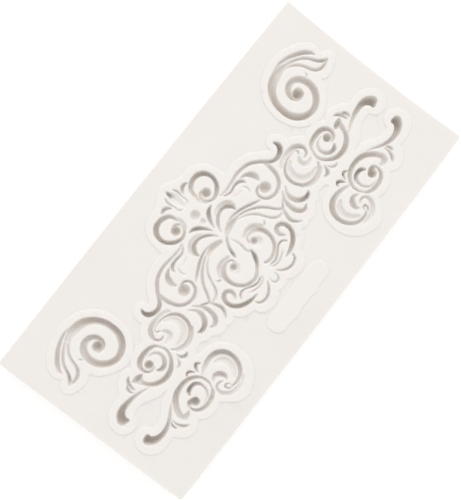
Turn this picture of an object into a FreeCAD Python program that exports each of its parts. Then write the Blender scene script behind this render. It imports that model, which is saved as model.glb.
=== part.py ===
# Casting mould for a set of scrolled ornaments, poured from the top and peeled off by hand.
#
# One slab of soft silicone rubber.  Its underside is flat and stands on the bench.  Low raised
# lands on the upper face follow the outline of the ornament, and the cavities are sunk into them:
# an axial crest and palmette, an arm to either side, two end scrolls and a separate corner scroll.
#
# +X runs along the long side, +Y towards the crest, +Z up.  The origin lies on the bench under
# the middle of the slab, and the ornament is mirrored about the line x = 0.
import FreeCAD, Part
import math
import os
import sys

import Sketcher

V = FreeCAD.Vector
doc = FreeCAD.newDocument("casting_mould")

# ---------------------------------------------------------------- sizes
SIZES = (
    ("slab_length", 165.0, "long side of the slab"),
    ("slab_width", 80.0, "short side of the slab"),
    ("slab_thickness", 9.6, "sheet under the lands"),
    ("side_lean", 1.1, "how far the foot of each end stands to the right of its top"),
    ("side_bow", 0.45, "outward bow of the long sides"),
    ("end_hollow", 0.8, "inward bow of the right-hand end"),
    ("corner_round", 0.8, "radius of the upright corners"),
    ("edge_round", 0.35, "radius round the upper and lower edge"),
    ("land_height", 0.4, "rise of the lands and the label panel"),
    ("deepest_cavity", 5.0, "depth of the deepest hollow below its land"),
    ("ornament_shift", -0.4, "how far the ornament lies towards the crest's side of the middle"),
)

sheet = doc.addObject("Spreadsheet::Sheet", "Sizes")
for row, (name, value, meaning) in enumerate(SIZES, start=1):
    sheet.set("A%d" % row, name)
    sheet.set("B%d" % row, str(value))
    sheet.set("C%d" % row, meaning)
    sheet.setAlias("B%d" % row, name)
doc.recompute()


def size(name):
    """One driving size, read from the sheet."""
    return float(sheet.get(name))


# The ornament is laid out for a slab of this length, width and deepest cavity.  It keeps its
# proportions, and grows or shrinks with the side of the slab that leaves it less room.
LAYOUT_LENGTH = 165.0
LAYOUT_WIDTH = 80.0
LAYOUT_DEPTH = 5.0

SPREAD = min(size("slab_length") / LAYOUT_LENGTH, size("slab_width") / LAYOUT_WIDTH)
DOWN = size("deepest_cavity") / LAYOUT_DEPTH
FACE = size("slab_thickness") + size("land_height")


def on_face(x, y, z=0.0):
    """A point of the layout, at this slab's scale."""
    return V(x * SPREAD, y * SPREAD, z)


# ---------------------------------------------------------------- layout of the ornament
# Raised lands.  Each lobe is a smooth run between two notches; the right half is given, from
# the head of the axis round to its foot, as distances along and across the slab in mm.
ORNAMENT_LAND = [
    [
        (0, 34.8), (2.4, 33.8), (5, 32.2), (7.8, 31.1),
    ],
    [
        (7.8, 31.1), (10.5, 31), (13.4, 30.2), (15.9, 28.3), (17.3, 25.5), (17.8, 22.3),
        (18.2, 19.2),
    ],
    [
        (18.2, 19.2), (21, 19.6), (24.5, 19.3), (28, 18.2), (31, 16.1), (33.3, 13.5),
        (35.2, 11.9),
    ],
    [
        (35.2, 11.9), (35.3, 13.6), (36.5, 15), (38.4, 15.5), (40.4, 14.6), (41.7, 12.6),
        (41.9, 9.9),
    ],
    [
        (41.9, 9.9), (43.9, 8.7), (45.6, 7), (47, 5.5),
    ],
    [
        (47, 5.5), (49.3, 6.1), (51.9, 5.8), (54.4, 4.7), (56.2, 3.1),
    ],
    [
        (56.2, 3.1), (58, 4.3), (60.2, 4.5), (62.8, 3.5), (64.9, 1.9), (66.2, 0.2),
    ],
    [
        (66.2, 0.2), (69, 0.2), (72, -0.2), (74.9, -1.7), (76.9, -4.6), (77, -7.9),
        (75.3, -10.3), (72.3, -11.4), (69.7, -10.5), (68.1, -8),
    ],
    [
        (68.1, -8), (66.2, -7.6), (63.6, -8.1), (60.8, -9.6), (57.9, -11.1), (54.3, -12),
    ],
    [
        (54.3, -12), (57, -12.3), (59.8, -13.4), (62.5, -15.1), (65.2, -16.1), (68.3, -16.2),
    ],
    [
        (68.3, -16.2), (68.9, -14.3), (70.5, -12.9), (72.9, -12.6), (75.4, -13.7), (77, -16.2),
        (77, -19.2), (75.4, -22), (72.6, -23.6), (69.5, -24), (66.2, -23.8),
    ],
    [
        (66.2, -23.8), (65.1, -25.8), (63.2, -27.8), (60.8, -28.7), (58.4, -28.3), (56.1, -26.9),
    ],
    [
        (56.1, -26.9), (54.4, -28.7), (51.8, -29.8), (49.3, -30), (46.6, -29.2),
    ],
    [
        (46.6, -29.2), (44.9, -31.4), (42.8, -33.9), (40.2, -35.4), (37.1, -35.6), (33.6, -34.3),
        (30.8, -32.3), (28.7, -29.6), (27.5, -26.2), (27.4, -22.4), (28.3, -18.8), (30.3, -15.8),
        (33.4, -13.7), (37.8, -12.7),
    ],
    [
        (37.8, -12.7), (38.4, -12.2), (38, -11.6),
    ],
    [
        (38, -11.6), (36.1, -11), (34.1, -11), (32.2, -12.3), (29.9, -12.6),
    ],
    [
        (29.9, -12.6), (28.9, -13.8), (27.1, -14.8), (25.3, -15), (23.6, -14.6),
    ],
    [
        (23.6, -14.6), (22.8, -15.2), (21.2, -15.1), (19.7, -14.5),
    ],
    [
        (19.7, -14.5), (18.7, -16.3), (17, -17.6), (15.2, -18.3), (13.5, -18.8),
    ],
    [
        (13.5, -18.8), (13.1, -20.6), (11.6, -22.3), (9.5, -23.3), (7.2, -23.5), (4.7, -22.9),
        (2.4, -21.3),
    ],
    [
        (2.4, -21.3), (1.6, -21.9), (0, -22.1),
    ],
]

CORNER_LAND = [
    [
        (54.3, 4.9), (51.2, 6.2), (48.6, 8.3), (46.8, 11), (45.8, 14.2), (45.5, 17.6),
        (46, 21.2), (47.2, 24.6), (49.4, 27.5), (52.3, 29.8), (55.9, 31.2), (59.8, 31.8),
        (64, 31.4), (68, 30.2), (71.6, 28.3), (74.2, 25.6), (75.3, 22.5), (74.4, 19.5),
    ],
    [
        (74.4, 19.5), (76.3, 18.4), (77.4, 16.6), (77, 14.8), (75, 13.1), (72.2, 12.2),
        (69.2, 12.1), (66.8, 13.3),
    ],
    [
        (66.8, 13.3), (66, 11), (64.3, 8.9), (61.9, 7.1), (59.2, 5.6), (56.5, 4.7),
        (54.3, 4.9),
    ],
]

LABEL_PANEL = [
    [
        (0, -24.3), (11.5, -24.3),
    ],
    [
        (11.5, -24.3), (13.6, -25), (15.3, -26.4), (15.4, -28.4), (14.6, -30.6), (13, -31.9),
    ],
    [
        (13, -31.9), (8.5, -31.9), (5.5, -32.5), (3, -31.9), (0, -31.9),
    ],
]

# Grooves.  Each is given by stations along its middle line: along, across, half width, depth.
# The paired ones are repeated on the other side of the axis.
PAIRED_GROOVES = {
    "corner_band": [
        (62.5, 26.4, 1, 1.6), (60, 26.9, 1.4, 2.2), (57, 26.7, 1.7, 2.8), (54.2, 25.9, 1.6, 3.2),
        (52, 24.3, 1.35, 3.4), (50.3, 22, 1.2, 3.4), (49.4, 19.5, 1.15, 3.4), (49.2, 17, 1.15, 3.4),
        (49.4, 14.5, 1.2, 3.4), (50.4, 12.2, 1.25, 3.4), (52.2, 10.2, 1.2, 3.4), (54.6, 9.1, 1.1, 3.3),
        (57.2, 9, 1.1, 3.2), (59.6, 10.1, 1.15, 3.1), (61.5, 12, 1.25, 3), (62.6, 14.4, 1.3, 2.9),
        (62.7, 17, 1.3, 2.8), (61.8, 19.4, 1.3, 2.6), (60, 20.9, 1.2, 2.4), (57.8, 21, 1.15, 2.5),
        (56, 20, 1.05, 2.6), (55.2, 18.2, 1, 2.7), (55.6, 16.4, 1, 2.7), (56.9, 15.6, 1, 2.6),
        (58.2, 16, 1.1, 2.6),
    ],
    "corner_leaf_1": [
        (57, 28.1, 0.3, 0.8), (59, 28.5, 0.42, 1.2), (61.5, 28.7, 0.5, 1.5), (64, 28.1, 0.6, 1.7),
        (66.5, 27.1, 0.7, 2), (69, 25.6, 0.8, 2.3), (71, 23.9, 0.8, 2.3), (72.2, 22.2, 0.6, 1.8),
        (72.5, 20.8, 0.3, 1),
    ],
    "corner_leaf_2": [
        (62, 26.9, 0.7, 1.4), (64, 26.2, 0.6, 1.4), (66.5, 25, 0.55, 1.5), (69, 23, 0.5, 1.6),
        (70.4, 20.8, 0.5, 1.7), (71.3, 18.8, 0.55, 2), (72.7, 17.1, 0.6, 2.3), (74.2, 16.2, 0.25, 1.2),
    ],
    "corner_leaf_3": [
        (62, 26, 0.6, 1.4), (64, 24.8, 0.55, 1.4), (65.7, 23, 0.5, 1.4), (66.8, 20.9, 0.5, 1.5),
        (67.4, 18.8, 0.55, 1.6), (68.4, 17, 0.65, 1.8), (70, 15.9, 0.65, 1.9), (71.8, 15.7, 0.55, 1.8),
        (74, 16.1, 0.25, 1.2),
    ],
    "corner_notch": [
        (63.9, 18.1, 0.25, 0.8), (64.8, 18.5, 0.35, 1), (65.1, 19.2, 0.25, 0.8),
    ],
    "tendril": [
        (11, 15.9, 0.35, 0.8), (13, 15.5, 0.45, 1.1), (15, 15.5, 0.5, 1.3), (18, 15.8, 0.55, 1.5),
        (21, 16.1, 0.6, 1.7), (24, 15.7, 0.65, 1.9), (26.5, 14.8, 0.65, 2), (28.5, 13.3, 0.65, 2.1),
        (30, 11.8, 0.65, 2.1), (31.3, 10.1, 0.7, 2.3), (32.6, 8.9, 0.75, 2.6), (34.2, 8.3, 0.8, 3),
        (36, 8.5, 0.9, 3.4), (37.5, 9.3, 0.95, 3.8), (38.3, 10.4, 0.9, 3.9), (38.4, 11.7, 0.65, 3.2),
        (38, 12.8, 0.25, 1.6),
    ],
    "tendril_inner": [
        (11.5, 15.2, 0.3, 1), (12.8, 14.2, 0.4, 1.5), (14.5, 13.8, 0.45, 1.8), (17, 14.1, 0.5, 2),
        (19, 13.8, 0.65, 2.1), (20.1, 12.9, 0.55, 2), (20.3, 11.8, 0.3, 1),
    ],
    "tendril_petal": [
        (20.6, 14.1, 0.35, 1), (22.6, 13.3, 0.7, 2), (23.9, 11.8, 1.1, 2.5), (24.3, 10.1, 1.1, 2.1),
        (23.9, 8.7, 0.6, 1.2),
    ],
    "tendril_lobe": [
        (18.7, 8.4, 0.3, 0.6), (19.2, 9.6, 0.35, 0.8), (19.1, 10.7, 0.35, 0.8), (18.5, 11.7, 0.25, 0.5),
    ],
    "tendril_tick": [
        (13.5, 11.9, 0.25, 0.4), (15.3, 11.3, 0.35, 0.5), (17, 11, 0.25, 0.4),
    ],
    "volute": [
        (30.1, 11.4, 0.6, 1.6), (30.2, 9.3, 0.75, 1.9), (30, 7, 0.8, 2), (29.5, 4.9, 0.75, 2),
        (28.5, 3.1, 0.7, 2), (27, 1.8, 0.65, 2), (25.2, 1.1, 0.6, 2), (23.4, 1, 0.6, 1.9),
        (21.6, 1.6, 0.6, 1.8), (20.3, 2.8, 0.55, 1.7), (19.7, 4.4, 0.5, 1.7), (19.9, 5.9, 0.5, 1.7),
        (20.9, 6.9, 0.5, 1.7), (22.3, 7.1, 0.5, 1.7),
    ],
    "fan_a": [
        (26, -0.6, 0.3, 0.8), (25.1, -1.9, 0.45, 1.1), (24.2, -3.2, 0.6, 1.5), (23.7, -5, 0.8, 1.9),
        (23.6, -7, 0.9, 2.1), (24, -8.9, 0.95, 2.3), (25, -10.3, 0.9, 2.4), (26.4, -10.9, 0.7, 2.1),
        (27.8, -10.2, 0.3, 1.2),
    ],
    "fan_b": [
        (28.2, -0.3, 0.3, 0.7), (27, -1.7, 0.5, 1.1), (26.3, -3.2, 0.75, 1.5), (26.3, -5, 0.95, 2),
        (27, -6.7, 1, 2.3), (28.3, -8, 0.95, 2.9), (29.8, -8.6, 0.85, 3.4), (31.1, -8.5, 0.7, 3.1),
        (32.1, -7.9, 0.25, 1.4),
    ],
    "fan_c": [
        (21.2, -4.8, 0.45, 1.2), (20.7, -6.2, 0.6, 1.6), (20.2, -7.8, 0.65, 1.8), (20, -9.3, 0.7, 2),
        (20.5, -10.7, 0.6, 1.9), (21.4, -11.9, 0.4, 1.4), (22.3, -12.8, 0.2, 0.7),
    ],
    "fan_v": [
        (21.3, -4.6, 0.4, 1.8), (22.8, -3.5, 0.4, 1.8), (24.2, -2.6, 0.35, 1.6),
    ],
    "cscroll_rim": [
        (40, 3.1, 0.3, 1.1), (40.9, 3.7, 0.35, 1.3), (40.9, 4.5, 0.35, 1.3), (40.2, 5.05, 0.4, 1.4),
        (38.8, 5.2, 0.45, 1.5), (37, 5.1, 0.45, 1.7), (35, 4.6, 0.5, 1.8), (33.2, 3.6, 0.6, 2),
        (31.9, 2.2, 0.7, 2.2), (31.3, 0.6, 0.75, 2.3), (31.2, -1.2, 0.75, 2.3), (31.6, -3, 0.7, 2.3),
        (32.6, -4.7, 0.65, 2.3), (34.1, -5.9, 0.65, 2.3), (36, -6.6, 0.6, 2.3), (38, -6.7, 0.6, 2.2),
        (40, -6.2, 0.55, 1.9), (41.5, -5.3, 0.5, 1.4), (42.6, -4.1, 0.35, 0.9),
    ],
    "cscroll_shoulder": [
        (41.5, -6, 0.6, 1.3), (39.5, -7, 0.8, 1.7), (37, -7.3, 0.9, 1.9), (34.4, -6.6, 0.9, 1.9),
        (32.3, -5, 0.9, 1.9),
    ],
    "cscroll_hook": [
        (32.6, 4.9, 0.7, 1), (34.5, 6, 0.9, 1.2), (37, 6.4, 0.9, 1.5), (39.5, 6.5, 0.9, 1.9),
        (41.6, 5.8, 0.95, 2.2), (42.9, 4.5, 0.85, 2.4), (43.4, 3.1, 0.65, 2.1), (43, 1.7, 0.45, 1.8),
        (42, 0.85, 0.4, 1.6), (40.6, 0.9, 0.25, 1.1),
    ],
    "cscroll_pocket": [
        (39.5, 2.3, 0.5, 0.8), (38.6, 0.9, 0.9, 1.4), (38.8, -0.7, 1, 1.4), (40.3, -1.4, 0.8, 1),
        (42, -1.2, 0.4, 0.6),
    ],
    "cscroll_floor": [
        (36.4, 3.9, 0.5, 0.8), (34, 2.3, 1.2, 1.3), (33.3, -0.8, 1.4, 1.4), (34.5, -3.6, 1.4, 1.4),
        (37.2, -5, 1.1, 1.3), (40.2, -4.9, 0.6, 0.8),
    ],
    "drop_1": [
        (42.8, -7, 0.35, 0.9), (42.5, -8.4, 0.6, 1.7), (41.4, -9.5, 0.7, 2.2), (40.1, -9.3, 0.4, 1.4),
    ],
    "drop_2": [
        (43.6, -7.8, 0.3, 0.7), (44.3, -9.1, 0.45, 1.2), (45.3, -9.9, 0.55, 1.4), (46.5, -9.9, 0.3, 0.8),
    ],
    "ring_top": [
        (44.5, -0.1, 0.4, 1.2), (45.3, 1.2, 0.6, 1.7), (46.9, 2, 0.8, 2.3), (49, 2.35, 0.95, 2.7),
        (51, 2.35, 1, 2.8), (52.8, 1.8, 0.95, 2.8), (54, 0.6, 0.75, 2.5), (54.4, -0.9, 0.6, 2.2),
        (53.9, -2.4, 0.5, 1.9), (52.7, -3.3, 0.5, 1.7), (51.2, -3.3, 0.4, 1.3),
    ],
    "ring_base": [
        (44.5, -0.1, 0.4, 1), (43.9, -1.8, 0.5, 1.3), (43.9, -3.5, 0.55, 1.5), (44.7, -5.3, 0.6, 1.7),
        (46.2, -7, 0.7, 2.2), (48.2, -8.3, 0.85, 2.8), (50.6, -8.8, 0.95, 3.3), (53, -8.5, 0.95, 3.1),
        (55.2, -7.4, 0.9, 2.6), (56.8, -5.8, 0.8, 2.2), (57.6, -4.1, 0.8, 2), (58, -2.5, 1.1, 2),
        (58.1, -1.2, 1, 1.7),
    ],
    "ring_wedge": [
        (55.7, -1.5, 0.3, 1.2), (57, -1.4, 1, 2.8), (58.4, -1.2, 1.2, 2.9), (59.5, -0.7, 0.6, 1.6),
    ],
    "ring_heart": [
        (50.3, 0.6, 0.25, 0.6), (48.8, 0.5, 0.4, 0.9), (47.3, -0.2, 0.55, 1.2), (46.4, -1.6, 0.65, 1.4),
        (46.4, -3.3, 0.75, 1.6), (47.2, -4.8, 0.8, 2), (48.5, -5.7, 0.8, 2.5), (50, -5.8, 0.8, 2.8),
        (51.3, -4.9, 0.4, 1.7),
    ],
    "ring_leaf_1": [
        (59.3, 1.7, 0.25, 1), (60.4, 1.1, 0.5, 2), (61.2, 0, 0.65, 2.2), (61.6, -1.3, 0.65, 1.9),
        (61.6, -2.7, 0.35, 1.1),
    ],
    "ring_leaf_2": [
        (61.9, 0, 0.35, 1.5), (62.8, -0.7, 0.5, 2.1), (63.1, -1.9, 0.45, 1.8), (62.6, -3.2, 0.25, 1),
    ],
    "comma": [
        (57.4, -6.4, 0.3, 0.7), (59.5, -5.6, 0.45, 1), (61.5, -4.8, 0.55, 1.4), (63.5, -4.2, 0.7, 1.9),
        (65.5, -3.8, 0.85, 2.5), (67.5, -3.6, 1, 3.1), (69.5, -3.7, 1.2, 3.8), (71.2, -4.4, 1.5, 4.5),
        (72.4, -5.7, 1.7, 4.9),
    ],
    "low_cscroll_rim": [
        (43.3, -18.6, 0.3, 0.8), (41.6, -17.8, 0.6, 1.2), (39.5, -17.1, 0.85, 1.8), (37, -16.8, 0.95, 2.3),
        (34.8, -17.2, 1.05, 2.8), (33, -18.3, 1.1, 3.1), (31.7, -20, 1.05, 3.1), (31.2, -22, 0.95, 2.9),
        (31.3, -24, 0.9, 2.7), (32, -26, 0.9, 2.5), (33.2, -27.7, 0.85, 2.3), (34.8, -28.9, 0.75, 2.2),
        (36.8, -29.5, 0.65, 2.1), (38.5, -29.4, 0.5, 1.7), (39.6, -28.9, 0.35, 1.1),
    ],
    "low_cscroll_hook": [
        (34.5, -30, 0.7, 0.8), (37, -31, 0.8, 1.1), (40, -30.9, 0.9, 1.3), (42.3, -29.7, 0.9, 1.5),
        (43.6, -27.8, 0.85, 1.5), (43.7, -26, 0.65, 1.4), (42.8, -24.9, 0.5, 1.4), (41.4, -24.8, 0.4, 1.4),
        (40.2, -25.3, 0.25, 1),
    ],
    "low_cscroll_pocket": [
        (42.3, -22.7, 0.4, 0.9), (40.6, -22, 0.8, 1.8), (39.1, -22.7, 1, 2.4), (38.3, -24.1, 1, 2.5),
        (38.3, -25.3, 0.7, 1.8), (38.9, -26.2, 0.3, 0.9),
    ],
    "low_cscroll_floor": [
        (36.6, -19.2, 0.6, 0.8), (34.5, -20.4, 1.3, 1.3), (33.5, -23, 1.4, 1.4), (34.4, -25.9, 1.3, 1.3),
        (36.3, -27.8, 0.8, 1),
    ],
    "low_curl": [
        (39.3, -28.2, 0.25, 0.9), (40, -27.2, 0.3, 1.4), (40.9, -27.1, 0.35, 1.6), (41.2, -27.9, 0.35, 1.6),
        (40.6, -28.9, 0.35, 1.4), (39.6, -29.8, 0.25, 0.9),
    ],
    "low_drop_1": [
        (43, -16.4, 0.3, 1.3), (42.4, -15.1, 0.55, 2.3), (41.3, -14.3, 0.65, 2.7), (40.2, -15.1, 0.35, 1.6),
    ],
    "low_drop_2": [
        (43.8, -15.8, 0.25, 1.2), (44.6, -14.3, 0.45, 2.2), (45.7, -13.8, 0.45, 2.4), (46.7, -14.5, 0.3, 1.5),
    ],
    "low_ring_rim": [
        (44.4, -23.8, 0.35, 1), (43.6, -21.9, 0.45, 1.4), (43.6, -19.8, 0.5, 1.7), (44.4, -17.8, 0.6, 1.9),
        (46, -16.2, 0.75, 2.3), (48.2, -15.2, 0.85, 2.6), (50.5, -14.9, 0.9, 2.8), (53, -15.2, 1, 3),
        (55.3, -16.2, 1.05, 3), (57.1, -17.9, 1.05, 2.7), (58.3, -19.8, 1.05, 2.3), (58.8, -21.6, 1, 2),
        (58.3, -22.9, 0.8, 1.6),
    ],
    "low_ring_wedge": [
        (55.7, -22.4, 0.3, 0.9), (57.1, -22.9, 0.9, 1.8), (58.5, -22.6, 1.15, 2), (59.1, -20.9, 0.9, 1.8),
    ],
    "low_ring_base": [
        (44.4, -23.8, 0.35, 1), (45.4, -25, 0.65, 1.6), (47.1, -25.8, 0.85, 2.2), (49.3, -26.2, 0.85, 2.3),
        (51.6, -25.9, 0.75, 2.2), (53.4, -24.9, 0.65, 2), (54.4, -23.4, 0.5, 1.8), (54.5, -21.9, 0.4, 1.4),
    ],
    "low_ring_heart": [
        (50.4, -25, 0.25, 0.6), (48.7, -24.9, 0.4, 1), (47.2, -24.1, 0.45, 1.2), (46.1, -22.6, 0.45, 1.3),
        (45.8, -20.9, 0.5, 1.5), (46.1, -19.2, 0.65, 2.1), (47.2, -18.1, 0.75, 2.8), (48.7, -17.8, 0.75, 3.2),
        (50.3, -18.1, 0.75, 3.4), (51.2, -19.2, 0.4, 2),
    ],
    "low_ring_eye_tail": [
        (52.2, -21.4, 1.2, 3.2), (53.5, -21, 0.95, 2.8), (54.5, -21.5, 0.4, 1.6),
    ],
    "low_leaf_1": [
        (61.7, -19.6, 0.25, 0.7), (62, -21.6, 0.45, 1.3), (61.5, -23.4, 0.6, 1.7), (60.6, -24.7, 0.5, 1.8),
        (59.6, -25.4, 0.25, 1),
    ],
    "low_leaf_2": [
        (62.5, -19.8, 0.25, 1.2), (63.3, -21.2, 0.4, 2), (63.2, -22.6, 0.3, 1.6),
    ],
    "low_comma": [
        (56.6, -15.6, 0.25, 0.6), (58.8, -16.7, 0.45, 1.1), (60.8, -18, 0.55, 1.5), (62.8, -19.1, 0.65, 2),
        (65, -19.9, 0.75, 2.6), (67.5, -20.2, 0.9, 3.2), (69.8, -19.8, 1.15, 3.9), (71.6, -18.8, 1.45, 4.5),
        (72.6, -17.4, 1.6, 4.9),
    ],
    "crest_side": [
        (2.1, 30.3, 0.3, 1), (2.6, 29.3, 0.4, 1.4), (2.6, 27.9, 0.45, 1.4), (2.3, 26.4, 0.4, 1.1),
        (2.4, 24.9, 0.35, 0.9), (1.9, 23.6, 0.35, 0.9), (0.9, 23.5, 0.25, 0.6),
    ],
    "crest_leaf": [
        (3.2, 26.4, 0.3, 0.9), (4, 27.6, 0.6, 1.8), (5.2, 28.4, 0.7, 2.2), (6.5, 28.3, 0.55, 1.8),
        (7.2, 27.7, 0.25, 0.9),
    ],
    "crest_ring": [
        (5.5, 22.3, 0.5, 1.3), (5.6, 24.1, 0.65, 1.8), (6.5, 25.7, 0.8, 2.3), (8.1, 26.6, 0.9, 2.7),
        (10, 27, 0.95, 2.9), (12, 26.6, 1, 3.2), (13.6, 25.3, 0.95, 3.3), (14.4, 23.5, 0.8, 3.2),
        (14.3, 21.4, 0.7, 3), (13.3, 19.5, 0.75, 2.9), (11.6, 18, 0.75, 2.7), (9.5, 17.2, 0.6, 2.2),
        (7.7, 17.5, 0.5, 1.8), (6.4, 18.7, 0.5, 1.6), (6, 20.2, 0.45, 1.5), (6.6, 21.5, 0.45, 1.6),
        (7.8, 22, 0.5, 1.8),
    ],
    "crest_ring_shoulder": [
        (4.9, 22.8, 0.5, 0.8), (5, 20.8, 0.9, 1.3), (5.8, 18.6, 0.8, 1.2),
    ],
    "crest_fan_leaf": [
        (0.6, 10.4, 0.25, 0.9), (1.3, 12.2, 0.5, 1.8), (2.2, 13.8, 0.7, 2.6), (3.3, 15.1, 0.8, 3),
        (4.7, 16, 0.6, 2.5), (6.3, 16.3, 0.25, 1),
    ],
    "crest_hook": [
        (0.9, 7.4, 0.25, 0.7), (1.6, 9, 0.4, 1.3), (2.7, 10.4, 0.55, 2), (4.3, 11.7, 0.6, 2.3),
        (6.2, 12.4, 0.65, 2.6), (8.2, 12.4, 0.8, 3), (9.7, 11.6, 0.9, 3.4), (10.6, 10.2, 0.8, 3.1),
        (10.6, 8.8, 0.4, 1.7),
    ],
    "crest_hook_shoulder": [
        (4.4, 12.8, 0.5, 0.7), (6.5, 13.5, 0.9, 1.1), (8.8, 13.2, 1.2, 1.6), (10.7, 11.8, 1.2, 1.8),
        (11.3, 10.1, 0.7, 1.1),
    ],
    "band_1": [
        (4.6, 7.7, 0.3, 1), (7, 8, 0.35, 1.4), (9.2, 7.8, 0.45, 1.7), (11.7, 7.1, 0.55, 2),
        (14.2, 6, 0.55, 2), (16.6, 4.8, 0.5, 1.7), (18.6, 3.8, 0.25, 1),
    ],
    "band_2": [
        (6.5, 7, 0.3, 0.9), (9.3, 6.5, 0.4, 1.3), (12, 5.5, 0.45, 1.5), (14.5, 4, 0.5, 1.6),
        (16.7, 2.1, 0.5, 1.6), (18.3, -0.1, 0.5, 1.6), (19.6, -2.4, 0.5, 1.6), (21.1, -4.4, 0.45, 1.4),
    ],
    "band_3": [
        (8, 5.9, 0.25, 0.7), (10.6, 4.7, 0.35, 1), (12.7, 3.1, 0.4, 1.2), (14.2, 1.1, 0.45, 1.3),
        (15.2, -1.1, 0.45, 1.3), (16.3, -3.4, 0.5, 1.4), (18, -5, 0.5, 1.3), (19.7, -5.3, 0.4, 1.1),
        (21.1, -4.9, 0.3, 0.8),
    ],
    "band_root": [
        (1.8, 5.6, 0.8, 1.4), (3.8, 6.4, 1.2, 2.2), (6.2, 6.7, 1.1, 2.2), (8.6, 6.3, 0.6, 1.4),
    ],
    "heart_ring": [
        (4.4, -2.9, 0.35, 1.2), (4.6, -1.5, 0.4, 1.4), (5.9, -0.8, 0.5, 1.7), (7.8, -0.9, 0.65, 2.2),
        (9.4, -1.7, 0.9, 2.6), (10.6, -3.2, 1, 2.9), (11, -5.2, 0.8, 2.4), (10.8, -7.2, 0.7, 2.2),
        (10, -9.1, 0.7, 2), (8.5, -10.8, 0.7, 2), (6.4, -11.9, 0.7, 2), (4, -12.1, 0.6, 1.8),
        (2.3, -11.4, 0.5, 1.4),
    ],
    "heart_ring_shoulder": [
        (4.6, 0.2, 0.6, 1.1), (7.2, 0.6, 1, 1.7), (9.6, -0.2, 1.2, 2.1), (11.4, -2.2, 0.9, 1.6),
    ],
    "heart_notch": [
        (11.9, -2.9, 0.25, 0.8), (13, -2.7, 0.4, 1.3), (13.7, -1.9, 0.25, 0.8),
    ],
    "hook": [
        (14.4, -10.9, 0.35, 1.2), (13.6, -9.6, 0.7, 1.8), (13.6, -8.1, 0.85, 2), (14.6, -7.1, 0.85, 2.2),
        (16.2, -7.2, 0.85, 2.4), (17.3, -8.6, 0.8, 2.6), (17.5, -10.3, 0.8, 2.8), (16.9, -12.1, 0.8, 3),
        (15.6, -13.7, 0.85, 3.2), (13.5, -15, 0.8, 3.2), (11, -15.8, 0.6, 2.5), (8.5, -16.1, 0.25, 1),
    ],
    "curl_1": [
        (3, -13.4, 0.3, 1.3), (4.8, -13.8, 0.4, 1.8), (6.6, -13.4, 0.4, 2), (8.3, -12.4, 0.4, 2),
        (9.8, -11.5, 0.35, 1.8), (11.4, -11.2, 0.35, 1.8), (12.6, -11.8, 0.35, 1.6), (13.2, -12.8, 0.25, 1.2),
    ],
    "curl_2": [
        (2.2, -13.6, 0.25, 0.7), (3.5, -14.7, 0.35, 1.1), (5.3, -15.1, 0.35, 1.2), (7, -14.8, 0.35, 1.2),
        (8.6, -14.2, 0.3, 1), (9.8, -13.6, 0.2, 0.6),
    ],
    "petal": [
        (2.5, -16.2, 0.25, 0.8), (3.8, -17.8, 0.4, 1.4), (5.4, -19, 0.5, 1.8), (7.3, -19.6, 0.5, 2),
        (9.2, -19.3, 0.5, 1.8), (10.4, -18.5, 0.4, 1.6), (10.8, -17.3, 0.3, 1),
    ],
}

AXIAL_GROOVES = {
    "crest_centre": [
        (0, 31.7, 0.2, 1.4), (0, 30.9, 0.55, 3), (0, 29.8, 0.95, 2.4), (0, 28, 1, 1.4),
        (0, 25.5, 0.9, 1), (0, 23.2, 0.4, 0.5),
    ],
    "crest_body": [
        (0, 29.8, 1.2, 0.8), (0, 28, 2.1, 1), (0, 26, 1.5, 0.9), (0, 23.8, 0.8, 0.6),
    ],
    "ribbon_upper": [
        (4, 6.3, 0.5, 1), (2, 5.7, 0.5, 1.2), (0.3, 4.5, 0.5, 1.4), (-1, 2.9, 0.5, 1.6),
        (-1.9, 1.1, 0.55, 2), (-2.4, -0.5, 0.6, 2.5), (-2.9, -2, 0.25, 1.2),
    ],
    "ribbon_lower": [
        (2.6, -4.6, 0.3, 1.4), (2.1, -6.4, 0.7, 2.8), (1.2, -8, 0.75, 3.2), (0, -9.5, 0.6, 2.4),
        (-2, -11, 0.5, 1.6), (-4.2, -12, 0.5, 1.3),
    ],
    "drop_foot": [
        (-1.3, -16.2, 0.25, 0.5), (-1.45, -17.5, 0.35, 0.9), (-1, -18.5, 0.4, 1.2), (0, -18.95, 0.42, 1.3),
        (1, -18.5, 0.4, 1.2), (1.45, -17.5, 0.35, 0.9), (1.3, -16.2, 0.25, 0.5),
    ],
    "ribbon_edge": [
        (1.2, 2.8, 0.3, 0.6), (1.7, 1, 0.4, 0.9), (1.8, -1, 0.45, 1.1), (1.5, -3, 0.45, 1.2),
        (1.9, -4.8, 0.35, 1),
    ],
}

# How far a groove's bed leans to the left of its run, as a share of its half width.
LEANS = {
    "corner_band": -0.35,
    "volute": 0.3,
    "cscroll_rim": -0.3,
    "ring_top": 0.3,
    "ring_base": -0.3,
    "low_cscroll_rim": -0.35,
    "low_ring_rim": 0.3,
    "low_ring_base": -0.3,
    "crest_ring": 0.3,
    "heart_ring": 0.3,
    "hook": 0.3,
}

# Round hollows: along, across, half length, half width, depth, turn in degrees.
PAIRED_HOLLOWS = {
    "corner_eye": (57.5, 16.8, 2, 1.9, 4.2, 0),
    "volute_bowl": (23.4, 5.2, 2.2, 2.1, 3.2, -30),
    "ring_eye": (51.6, -1.4, 1.65, 1.6, 3.4, 0),
    "low_ring_eye": (51.7, -22.2, 1.65, 1.6, 4, 0),
    "comma_ball": (72.5, -6.1, 1.8, 1.7, 5, 0),
    "comma_hook": (71.7, -7.3, 0.95, 0.75, 3.4, 10),
    "low_comma_ball": (72.6, -17.4, 1.65, 1.6, 4.9, 0),
    "low_comma_hook": (71.7, -16.5, 0.95, 0.8, 3.4, 0),
    "crest_eye": (8.7, 20.5, 1.8, 1.75, 3.4, 0),
    "heart_eye": (6, -3.6, 1.45, 1.35, 2.8, 0),
    "heart_floor": (6.1, -4.3, 2.5, 1.8, 1.1, -45),
}

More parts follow.
